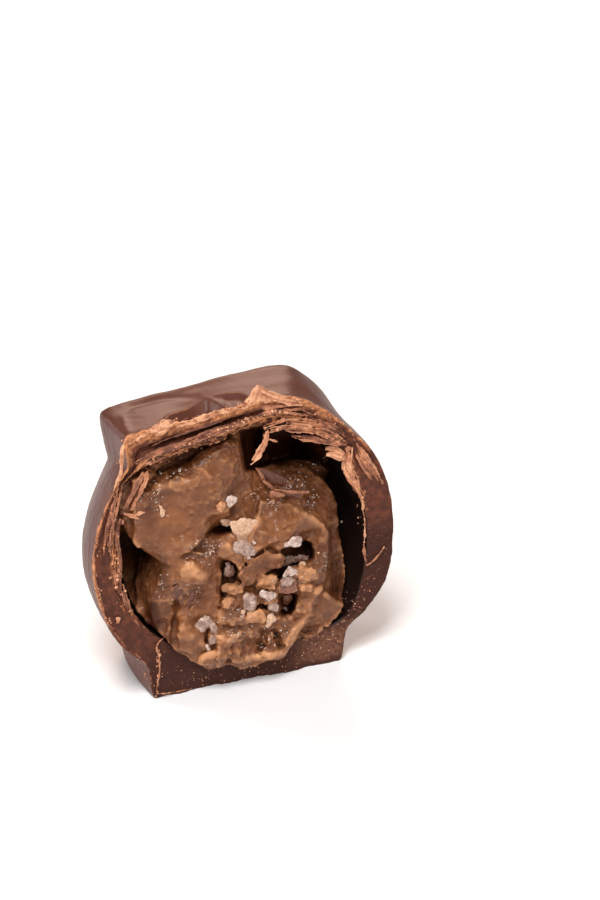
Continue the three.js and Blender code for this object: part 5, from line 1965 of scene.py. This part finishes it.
@dataclass
class Shavings:
    """The scraped strands, burrs and splinters round the rim."""

    form: TruffleForm
    facing: Point = TO_VIEWER
    pieces: tuple[Shaving, ...] = (
        # the burr along the outer edge, from the left wall over the pad to the tip
        Shaving(((-15.4, 9.4, 0.0), (-14.7, 11.4, 0.1), (-14.5, 13.2, 0.1), (-14.2, 14.6, 0.1),
            (-13.4, 15.2, 0.15), (-12.4, 15.6, 0.2)), 0.42, 0.4, 1, 0.5, (0.3, 0.5), tone=0.85),
        Shaving(((-12.9, 15.5, 0.2), (-12.4, 15.9, 0.25), (-11.2, 16.3, 0.25), (-10.0, 16.6, 0.3),
            (-8.8, 16.8, 0.3), (-7.8, 16.5, 0.2), (-6.3, 16.4, 0.15), (-5.0, 16.7, 0.2),
            (-3.4, 17.0, 0.2), (-1.8, 17.2, 0.25), (-0.2, 17.2, 0.25), (1.0, 17.6, 0.2)), 0.55, 0.5,
            1, 1.0, (0.6, 0.6), tone=0.85),
        Shaving(((-10.6, 15.9, 0.15), (-9.4, 16.3, 0.25), (-8.4, 16.5, 0.25)), 0.8, 0.3, 2, 0.9,
            tone=0.8),
        Shaving(((-10.8, 16.3, 0.3), (-9.9, 16.9, 0.5), (-8.9, 17.3, 0.5), (-8.3, 17.0, 0.4)), 0.5,
            0.3, 2, 0.9, tone=0.85),
        # the curled tip
        Shaving(((0.4, 17.5, 0.2), (1.1, 18.2, 0.3), (1.35, 19.0, 0.3), (1.8, 19.4, 0.2)), 0.8, 0.5,
            1, 0.9, (0.6, 0.5), tone=0.85),
        Shaving(((1.5, 19.3, 0.2), (2.4, 18.8, 0.3), (3.6, 17.9, 0.3), (5.0, 17.2, 0.25),
            (6.6, 16.5, 0.2), (8.2, 15.8, 0.1)), 0.8, 0.4, 2, 0.6, (0.7, 0.1), tone=0.8),
        Shaving(((0.9, 17.6, 0.3), (1.8, 18.4, 0.4), (2.6, 18.2, 0.4), (3.6, 17.4, 0.3)), 1.2, 0.4,
            3, 0.7, tone=0.8),
        # streaks of the torn inner layer, left part
        Shaving(((-12.9, 12.4, 0.1), (-11.6, 13.1, 0.3), (-10.0, 13.6, 0.4), (-7.6, 14.1, 0.45),
            (-5.0, 14.5, 0.4), (-2.6, 15.0, 0.4), (-0.2, 15.5, 0.35), (2.2, 15.9, 0.3),
            (4.2, 16.0, 0.2)), 0.75, 0.28, 4, 0.7, tone=0.42),
        Shaving(((-12.0, 12.2, -0.1), (-10.6, 12.6, 0.1), (-9.2, 12.9, 0.2), (-8.2, 13.0, 0.2)),
            0.6, 0.25, 3, 0.7, tone=0.34),
        Shaving(((-8.8, 13.3, 0.0), (-6.8, 13.6, 0.1), (-4.6, 14.0, 0.15), (-2.4, 14.5, 0.2),
            (-0.8, 15.1, 0.2)), 0.5, 0.22, 2, 0.7, tone=0.22),
        Shaving(((-10.9, 14.3, 0.1), (-9.0, 14.9, 0.15), (-7.0, 15.3, 0.15), (-4.6, 15.7, 0.15),
            (-2.0, 16.3, 0.2)), 0.3, 0.15, 2, 0.5, tone=0.22),
        # the ledge over the black wedge and the band to its right
        Shaving(((1.4, 15.7, 0.3), (3.0, 16.1, 0.4), (5.0, 15.9, 0.4), (6.8, 15.4, 0.35),
            (8.4, 14.6, 0.3), (9.6, 13.8, 0.2)), 0.5, 0.25, 2, 0.7, tone=0.4),
        Shaving(((1.2, 16.5, 0.2), (3.0, 16.7, 0.25), (5.4, 16.4, 0.2), (7.4, 15.8, 0.1)), 0.4, 0.2,
            2, 0.7, tone=0.4),
        # the splinter bundle
        Shaving(((2.4, 14.0, 0.5), (3.6, 14.3, 0.7), (4.8, 14.5, 0.8), (6.4, 14.2, 0.8),
            (8.0, 13.6, 0.6), (9.8, 12.8, 0.4), (11.4, 11.6, 0.2), (12.6, 10.6, 0.1)), 1.15, 0.3, 8,
            0.7, (0.9, 0.2), tone=0.6),
        Shaving(((4.3, 14.6, 0.8), (4.6, 15.1, 0.8), (5.0, 14.7, 0.8)), 0.4, 0.25, 1, 0.6,
            tone=0.6),
        Shaving(((5.0, 13.8, 0.6), (7.0, 13.3, 0.6), (9.2, 12.6, 0.5), (11.2, 11.4, 0.3),
            (12.8, 10.1, 0.2)), 0.9, 0.22, 5, 0.8, tone=0.6),
        Shaving(((7.6, 14.4, 0.2), (9.2, 13.6, 0.2), (10.8, 12.6, 0.15), (12.0, 11.6, 0.1),
            (13.2, 10.2, 0.05)), 0.8, 0.2, 5, 0.8, tone=0.42),
        # the sliver that hangs from the bundle, and its twig
        Shaving(((2.7, 14.0, 0.6), (2.5, 13.2, 0.9), (2.1, 12.4, 1.0), (1.4, 11.4, 1.1),
            (0.7, 10.5, 1.1), (0.0, 10.0, 1.1)), 0.6, 0.3, 2, 0.8, (0.9, 0.3), tone=0.75),
        Shaving(((2.4, 13.0, 0.9), (3.1, 12.85, 0.9), (3.9, 12.4, 0.9)), 0.25, 0.2, 1, 0.7,
            tone=0.75),
        # the thin flake below the bundle
        Shaving(((5.8, 12.5, 0.4), (7.0, 12.1, 0.5), (8.4, 11.7, 0.5), (9.6, 11.1, 0.5),
            (11.2, 10.6, 0.4), (12.6, 9.9, 0.2)), 0.6, 0.25, 3, 0.8, (0.2, 0.6), tone=0.45),
        # the clump and the fringe of the inner lip on the right
        Shaving(((10.0, 9.6, 0.1), (10.9, 9.5, 0.3), (11.9, 8.9, 0.3), (12.6, 8.4, 0.2)), 0.9, 0.45,
            2, 0.5, (0.7, 0.8), tone=0.8),
        Shaving(((12.9, 9.6, 0.1), (12.8, 8.4, 0.2), (12.6, 7.4, 0.2), (13.0, 6.2, 0.2),
            (13.6, 5.0, 0.1), (14.2, 3.8, 0.05), (14.6, 2.6, 0.0)), 1.05, 0.3, 6, 0.9, (0.7, 0.1),
            tone=0.8),
        Shaving(((12.2, 7.0, 0.1), (12.7, 6.8, 0.15), (13.3, 6.6, 0.1)), 0.35, 0.25, 1, 0.7,
            tone=0.8),
        Shaving(((14.3, 3.6, 0.0), (14.8, 1.4, 0.0), (15.1, -0.8, 0.0), (15.1, -2.6, 0.0),
            (14.9, -4.0, 0.0)), 0.22, 0.2, 1, 1.0, tone=0.8),
        # the wedge on the right shoulder
        Shaving(((13.5, 10.4, 0.0), (14.3, 9.0, 0.15), (15.2, 7.6, 0.25), (15.9, 6.3, 0.25),
            (16.5, 5.0, 0.2), (17.1, 3.8, 0.1)), 0.5, 0.35, 2, 0.7, (0.1, 0.8), tone=0.6),
        Shaving(((13.9, 9.0, 0.05), (14.8, 7.2, 0.1), (15.6, 5.6, 0.1), (16.6, 4.2, 0.1)), 0.9, 0.2,
            5, 0.6, (0.1, 0.5), tone=0.6),
        # the paired shavings in the left corner, with their bits
        Shaving(((-12.0, 11.2, 0.1), (-12.6, 10.1, 0.3), (-13.2, 9.2, 0.4), (-13.7, 8.2, 0.4),
            (-14.2, 7.2, 0.3)), 0.5, 0.3, 1, 1.0, (0.3, 0.7), tone=0.5),
        Shaving(((-11.4, 11.5, 0.2), (-11.8, 10.2, 0.5), (-12.5, 8.9, 0.6), (-13.1, 7.8, 0.5),
            (-13.6, 6.8, 0.4)), 0.5, 0.3, 1, 1.0, (0.4, 0.6), tone=0.6),
        Shaving(((-14.5, 6.5, 0.4), (-13.9, 6.2, 0.5), (-13.2, 5.7, 0.6), (-12.8, 5.5, 0.6)), 0.4,
            0.25, 1, 0.7, (0.6, 0.6), tone=0.65),
        Shaving(((-13.2, 6.0, 0.5), (-12.7, 6.5, 0.7), (-12.2, 6.6, 0.7), (-11.8, 6.5, 0.6)), 0.5,
            0.25, 1, 0.7, (0.5, 0.7), tone=0.65),
        Shaving(((-14.5, 5.6, 0.3), (-14.6, 5.1, 0.3)), 0.35, 0.25, 1, 0.7, tone=0.65),
        # strips inside the left wall
        Shaving(((-15.1, 9.4, 0.05), (-15.8, 7.2, 0.1), (-16.4, 5.0, 0.15), (-16.8, 2.6, 0.15),
            (-16.9, 0.6, 0.1)), 0.4, 0.25, 2, 0.6, tone=0.42),
        Shaving(((-14.7, 10.2, 0.1), (-15.2, 8.2, 0.2), (-15.7, 6.2, 0.25), (-16.1, 4.2, 0.25),
            (-16.2, 2.2, 0.2), (-15.9, 0.0, 0.15)), 0.6, 0.3, 3, 0.6, tone=0.42),
        Shaving(((-14.7, 5.8, 0.2), (-15.2, 4.6, 0.3), (-15.3, 3.0, 0.3), (-15.1, 1.4, 0.3),
            (-15.2, -0.6, 0.25), (-15.2, -2.6, 0.2), (-14.9, -4.6, 0.15)), 0.5, 0.25, 3, 0.6,
            (0.6, 0.2), tone=0.42),
        Shaving(((-15.8, -0.6, 0.1), (-15.6, -2.2, 0.15), (-15.3, -4.0, 0.1)), 0.35, 0.2, 2, 0.6,
            tone=0.42),
        Shaving(((-14.9, -2.6, 0.2), (-14.6, -4.6, 0.2), (-14.2, -6.2, 0.15), (-13.8, -7.6, 0.1)),
            0.5, 0.25, 3, 0.6, tone=0.42),
        # the lit outer edge down the left wall
        Shaving(((-14.9, 10.0, 0.0), (-15.8, 8.4, 0.05), (-17.3, 4.9, 0.05), (-18.0, 1.3, 0.05),
            (-17.9, -2.5, 0.05), (-17.1, -6.1, 0.0), (-15.6, -9.7, 0.0), (-14.5, -11.4, 0.0),
            (-13.1, -12.8, 0.0), (-11.8, -14.3, 0.0), (-11.4, -17.1, 0.0), (-11.2, -18.3, 0.0)),
            0.24, 0.2, 1, 0.4, tone=0.5),
        # the pale line where the cut gave way to the snapped foot
        Shaving(((-9.9, -11.0, 0.05), (-10.7, -11.6, 0.08), (-10.9, -12.3, 0.08),
            (-10.5, -13.0, 0.08), (-10.5, -14.2, 0.08), (-10.6, -15.6, 0.08), (-10.9, -17.0, 0.08),
            (-11.0, -18.4, 0.05)), 0.15, 0.14, 1, 0.9, tone=0.6),
        Shaving(((-11.0, -18.3, 0.05), (-9.6, -18.5, 0.08), (-8.2, -18.6, 0.05),
            (-6.6, -18.6, 0.0)), 0.16, 0.14, 1, 0.9, tone=0.6),
        # the fringe where the facet ends on the right
        Shaving(((15.1, -6.6, 0.05), (16.0, -6.2, 0.1), (16.9, -5.4, 0.1), (17.6, -4.4, 0.05)),
            0.22, 0.2, 1, 1.0, tone=0.6),
        Shaving(((14.9, -3.6, 0.05), (14.9, -5.2, 0.05), (15.2, -6.6, 0.05)), 0.25, 0.2, 1, 1.0,
            tone=0.6),
        # the small lump on the lower left wall
        Shaving(((-15.5, -7.0, 0.1), (-15.5, -7.7, 0.1)), 0.5, 0.3, 1, 0.5, (0.8, 0.8), tone=0.6),
    )
    pitch: float = 0.13
    around: int = 14

    def _path(self, shaving: Shaving) -> np.ndarray:
        """The shaving's path as close, even points."""
        corners, _, before = measured([self.form.at(*point) for point in shaving.path])
        count = max(8, int(before[-1] / self.pitch))
        spots = np.linspace(0.0, before[-1], count)
        line = np.stack([np.interp(spots, before, corners[:, axis]) for axis in range(3)], axis=1)
        for _ in range(4):
            line[1:-1] = (line[:-2] + 2.0 * line[1:-1] + line[2:]) / 4.0
        return line

    def _strand(self, shaving: Shaving, index: int, strand: int) -> bpy.types.Object:
        """Models one strand of a shaving."""
        line = self._path(shaving)
        seed = index * 13 + strand * 5
        draw = np.random.default_rng(seed + 400)
        count = shaving.strands
        if count > 1:
            first = int(len(line) * 0.25 * draw.random() * (strand % 2))
            last = len(line) - int(len(line) * 0.25 * draw.random())
            line = line[first:max(last, first + 8)]
        rows = len(line)
        share = np.linspace(0.0, 1.0, rows)
        way = np.gradient(line, axis=0)
        out = unit(np.array(self.facing))
        side = unit(np.cross(way, out))
        up = unit(np.cross(side, way))
        place = (strand + 0.5) / count - 0.5
        own = shaving.width / count * (1.5 if count > 1 else 1.0)
        spots = np.stack(
            [share * rows * self.pitch, np.full(rows, seed * 1.7), np.zeros(rows)], axis=1
        )
        drift = Grain.layers(spots, 3.0, 101, 2)
        swell = 1.0 + shaving.ragged * 0.7 * Grain.layers(spots, 0.8, 103, 3)
        start, end = shaving.ends
        taper = (
            np.minimum(1.0, start + (1.0 - start) * share * 5.0)
            * np.minimum(1.0, end + (1.0 - end) * (1 - share) * 3.0)
        )
        centre = (
            line + side * ((place * shaving.width + drift * 0.18) * clamp(taper + 0.3))[:, None]
        )
        centre = (
            centre + up * (0.12 * Grain.layers(spots + 5.0, 2.0, 105, 2) * min(count, 2))[:, None]
        )
        half = own / 2.0 * taper * np.clip(swell, 0.3, 2.0)
        deep = shaving.thickness / 2.0 * np.clip(taper, 0.4, 1.0)

        def spot(row: np.ndarray, turn: np.ndarray) -> np.ndarray:
            """Places one ring of the strand."""
            t = np.radians(turn)
            return (
                centre[row] + side[row] * (np.cos(t) * half[row])[:, None]
                + up[row] * (np.sin(t) * deep[row])[:, None]
            )

        piece, row, turn = press_ball(
            f"strand_{index}_{strand}", self.around, rows, spot, centre[0], centre[-1]
        )
        places = Bench.coords(piece)
        turn = np.radians(turn)
        fibre = np.stack(
            [row * self.pitch * 0.3, np.cos(turn) * own * 2.2, np.full(len(row), seed * 3.1)],
            axis=1,
        )
        groove = Grain.layers(fibre, 0.5, 106, 2) if count > 1 else np.zeros(len(row))
        rough = Grain.layers(places, 0.5, 107, 2) * 0.16 + Grain.layers(places, 0.24, 109, 2) * 0.12
        rough = rough * shaving.ragged * min(1.0, 0.5 + shaving.thickness) + 0.05 * groove
        Bench.move(piece, places + Bench.normals(piece) * rough[:, None])
        edge = np.abs(np.cos(turn)) ** 3
        patch = Grain.layers(places, 1.2, 111, 3)
        Bench.note(
            piece, "torn", clamp(shaving.tone + 0.35 * edge - 0.15 + 0.5 * groove + 0.35 * patch)
        )
        return piece

    def build(self, material: bpy.types.Material) -> bpy.types.Object:
        """Models all the strands and dresses them as one piece.

        Args:
            material: the finish of scraped chocolate.

        Returns:
            The finished shavings.
        """
        strands = [
            self._strand(shaving, index, strand)
            for index, shaving in enumerate(self.pieces)
            for strand in range(shaving.strands)
        ]
        piece = Bench.join("rim_shavings", strands)
        Bench.finish(piece, material, "chocolate_shaving")
        return piece


@dataclass(frozen=True)
class Trail:
    """Crumbs strewn along a path on the cut face: how many, their stray and their size."""

    path: tuple[Pair, ...]
    count: int
    stray: float
    size: float = 0.12


@dataclass
class GlintSpecks:
    """White specks on the wet places of the filling that stand for glints: painted highlights."""

    filling: Filling
    each: float = 12.0
    most: int = 900
    size: float = 0.08
    fineness: int = 1

    def build(self, material: bpy.types.Material, targets: Sequence[bpy.types.Object]) -> None:
        """Strews the specks and dresses them as one piece.

        Args:
            material: the white finish of the painted glints.
            targets: the surfaces that the specks sit on.
        """
        draw = np.random.default_rng(91)
        model = Bench.pebble("glint_speck", self.fineness)
        ball = Bench.coords(model)
        way = self.filling.facing
        glint_specks = []
        for place in self.filling.wet_places:
            wide, tall = place.radii
            for _ in range(int(self.each * wide * tall * place.rise) + 8):
                right = place.middle[0] + draw.normal(0.0, 0.8) * wide
                up = place.middle[1] + draw.normal(0.0, 0.8) * tall
                slant = draw.normal(0.0, 0.9)
                sides = (
                    draw.uniform(0.5, 1.0) * self.size
                    * np.array([draw.uniform(0.8, 3.4), 0.45, 0.7])
                )
                spot = Bench.land(
                    self.filling.form.at(right, up, self.filling.drawn_ahead), way, targets
                )
                if spot is None or len(glint_specks) >= self.most:
                    continue
                glint_speck = Bench.copy(model, f"drop_{len(glint_specks)}")
                flat = ball * sides
                across = flat[:, 0] * math.cos(slant) - flat[:, 2] * math.sin(slant)
                rise = flat[:, 0] * math.sin(slant) + flat[:, 2] * math.cos(slant)
                Bench.move(glint_speck, spot + np.stack([across, flat[:, 1], rise], axis=1))
                glint_specks.append(glint_speck)
        bpy.data.objects.remove(model)
        piece = Bench.join("painted_glint_specks", glint_specks)
        Bench.note(piece, "crest", np.full(len(piece.data.vertices), 0.5))
        Bench.finish(piece, material, "crystal")


@dataclass
class Crumbs:
    """Loose crumbs of scraped chocolate that cling round the rim."""

    form: TruffleForm
    facing: Point = TO_VIEWER
    trails: tuple[Trail, ...] = (
        Trail(((-14.4, 12.5), (-13.8, 15.2), (-11.0, 16.4), (-8.6, 16.9), (-4.6, 16.8),
            (-0.4, 17.2), (1.4, 18.6), (4.2, 17.4), (8.0, 15.8), (12.0, 13.2), (15.4, 10.0)), 110,
            0.3),
        Trail(((-12.6, 12.0), (-9.0, 12.7), (-4.8, 13.9), (-0.2, 15.0), (3.0, 15.6), (6.2, 15.2),
            (9.4, 13.2)), 90, 0.4),
        Trail(((2.4, 13.4), (5.6, 13.4), (9.6, 11.9), (12.4, 9.2), (12.8, 6.4), (14.2, 3.2),
            (15.0, -2.0)), 70, 0.4),
        Trail(((-15.0, 9.6), (-15.9, 4.6), (-15.4, -1.0), (-14.3, -6.0)), 60, 0.5),
        Trail(((-15.4, 9.9), (-17.2, 5.0), (-18.1, 0.0), (-17.0, -6.4), (-14.4, -11.4),
            (-11.4, -17.4)), 70, 0.15, 0.09),
        Trail(((-10.6, -12.2), (-10.6, -15.4), (-11.0, -18.6)), 26, 0.12, 0.13),
        Trail(((-9.0, -16.6), (-4.0, -17.4), (3.0, -17.4), (9.0, -16.4), (13.6, -12.6),
            (15.6, -8.6)), 170, 1.0, 0.065),
    )
    fineness: int = 2

    def build(self, material: bpy.types.Material, targets: Sequence[bpy.types.Object]) -> None:
        """Strews the crumbs and dresses them as one piece.

        Args:
            material: the finish of scraped chocolate.
            targets: the pieces that the crumbs cling to.
        """
        draw = np.random.default_rng(77)
        model = Bench.pebble("crumb", self.fineness)
        ball = Bench.coords(model)
        crumbs = []
        for trail in self.trails:
            corners, _, before = measured(trail.path)
            for spot in draw.uniform(0.0, before[-1], trail.count):
                right = np.interp(spot, before, corners[:, 0]) + draw.normal(0.0, trail.stray)
                up = np.interp(spot, before, corners[:, 1]) + draw.normal(0.0, trail.stray)
                sides = draw.uniform(0.6, 1.4, 3) * trail.size * draw.uniform(0.5, 1.3)
                place = Bench.land(self.form.at(right, up), self.facing, targets)
                if place is None or abs(place[1] - self.form.cut_y) > 3.0:
                    continue
                crumb = Bench.copy(model, f"crumb_{len(crumbs)}")
                lumps = 1.0 + 0.45 * Grain.smooth(ball + len(crumbs) * 3.7, 0.8, 121)
                Bench.move(crumb, place + ball * sides * lumps[:, None])
                crumbs.append(crumb)
        bpy.data.objects.remove(model)
        piece = Bench.join("clinging_crumbs", crumbs)
        Bench.note(piece, "torn", clamp(0.65 + 0.5 * Grain.smooth(Bench.coords(piece), 2.0, 123)))
        Bench.finish(piece, material, "chocolate_shaving")


# ---- Studio --------------------------------------------------------------------------------------


@dataclass
class Studio:
    """The floor, the lights and the camera."""

    azimuth: float = -21.3
    elevation: float = 28.0
    distance: float = 405.0
    lens: float = 138.0
    film: float = 36.0
    frame_width: int = 600
    frame_height: int = 900
    foot_pixel: Pair = (248.0, 680.0)
    foot_point: Point = (0.0, -6.7, 0.0)
    floor_size: float = 6.0
    ambient: float = 0.26

    def camera(self) -> bpy.types.Object:
        """Places the camera so that the foot's front edge falls where it should in the frame."""
        azimuth, elevation = math.radians(self.azimuth), math.radians(self.elevation)
        right = Vector((math.cos(azimuth), math.sin(azimuth), 0.0))
        back = Vector(
            (
                math.sin(azimuth) * math.cos(elevation),
                -math.cos(azimuth) * math.cos(elevation),
                math.sin(elevation),
            )
        )
        up = back.cross(right)
        focal = self.lens / self.film * self.frame_height
        across = (self.frame_width / 2 - self.foot_pixel[0]) * self.distance / focal
        rise = (self.foot_pixel[1] - self.frame_height / 2) * self.distance / focal
        place = Vector(self.foot_point) + right * across + up * rise + back * self.distance
        data = bpy.data.cameras.new("camera")
        data.lens = self.lens
        data.sensor_width = self.film
        data.clip_start = 0.01
        camera = bpy.data.objects.new("camera", data)
        turn = Matrix((right, up, back)).transposed().to_4x4()
        camera.matrix_world = Matrix.Translation(place * MM) @ turn
        bpy.context.scene.collection.objects.link(camera)
        bpy.context.scene.camera = camera
        return camera

    @staticmethod
    def softbox(
        name: str, place: Point, size: float, power: float, tint: Colour = (1.0, 1.0, 1.0)
    ) -> None:
        """Adds a square soft light that looks at the truffle, placed in metres."""
        data = bpy.data.lights.new(name, "AREA")
        data.color = tint
        data.shape = "SQUARE"
        data.size = size
        data.energy = power
        light = bpy.data.objects.new(name, data)
        way = Vector((0.0, 0.0, 0.015)) - Vector(place)
        turn = way.to_track_quat("-Z", "Y").to_matrix().to_4x4()
        light.matrix_world = Matrix.Translation(Vector(place)) @ turn
        bpy.context.scene.collection.objects.link(light)

    def floor(self) -> None:
        """Lays the pale floor."""
        Bench.clear_selection()
        bpy.ops.mesh.primitive_plane_add(size=self.floor_size, location=(0, 0, 0))
        floor = bpy.context.object
        floor.name = "floor"
        floor.data.materials.append(FloorFinish().make())

    def build(self) -> None:
        """Sets up the camera, the floor, the sky and the lights."""
        self.camera()
        self.floor()
        world = bpy.data.worlds.new("studio")
        world.use_nodes = True
        sky = world.node_tree.nodes["Background"]
        sky.inputs["Color"].default_value = (1.0, 1.0, 1.0, 1.0)
        sky.inputs["Strength"].default_value = self.ambient
        bpy.context.scene.world = world
        bpy.context.scene.view_settings.view_transform = "Standard"
        self.softbox("overhead", (-0.25, -0.40, 0.95), 0.30, 7.4)
        self.softbox("sparkle", (-0.42, -0.62, 0.78), 0.07, 1.3)
        self.softbox("front", (0.05, -0.95, 0.55), 0.22, 2.4)
        self.softbox("left_side", (-0.90, -0.50, 0.45), 0.3, 2.4)
        self.softbox("left_back", (-0.80, 0.70, 0.36), 0.3, 3.3, (1.0, 0.92, 0.87))
        self.softbox("back_top", (0.36, 0.86, 0.60), 0.5, 5.8, (1.0, 0.70, 0.55))


# ---- The whole truffle ---------------------------------------------------------------------------


BIT_FINISHES = {
    Bit.CRISP: BitFinish("baked_crisp", linear(230, 192, 162), linear(182, 134, 102), 0.6),
    Bit.CRYSTAL: BitFinish(
        "wet_crystal", linear(226, 202, 188), linear(150, 114, 98), 0.2, 0.8, 0.6
    ),
    Bit.GLASSY: BitFinish(
        "glassy_crystal", linear(190, 156, 140), linear(126, 88, 72), 0.14, 0.9, 0.8
    ),
    Bit.TOFFEE: BitFinish("toffee", linear(212, 150, 102), linear(172, 108, 66), 0.4, 0.2),
    Bit.CHIP: BitFinish(
        "wet_chip", linear(178, 116, 84), linear(82, 38, 22), 0.42, 0.15, edged=0.85
    ),
}


def main() -> None:
    """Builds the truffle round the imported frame."""
    logging.basicConfig(level=logging.INFO, format="%(name)s: %(message)s")
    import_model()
    Studio().build()
    form = TruffleForm()
    shell = Shell(form).build(ChocolateFinish().make())
    cream = FillingFinish().make()
    filling = Filling(form)
    bits = Bits(filling)
    body = filling.build(cream, bits)
    finishes = {kind: finish.make() for kind, finish in BIT_FINISHES.items()}
    bpy.context.view_layer.update()
    bits.build(finishes, (body, shell))
    # white specks on the wet places: painted glints
    GlintSpecks(filling).build(
        BitFinish("painted_glint_white", linear(255, 244, 234), linear(235, 214, 198), 0.1, 1.0).make(),
        (body,),
    )
    scraped = ShavingFinish().make()
    shavings = Shavings(form).build(scraped)
    bpy.context.view_layer.update()
    Crumbs(form).build(scraped, (shell, shavings, body))
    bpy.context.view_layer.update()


if __name__ == "__main__":
    main()
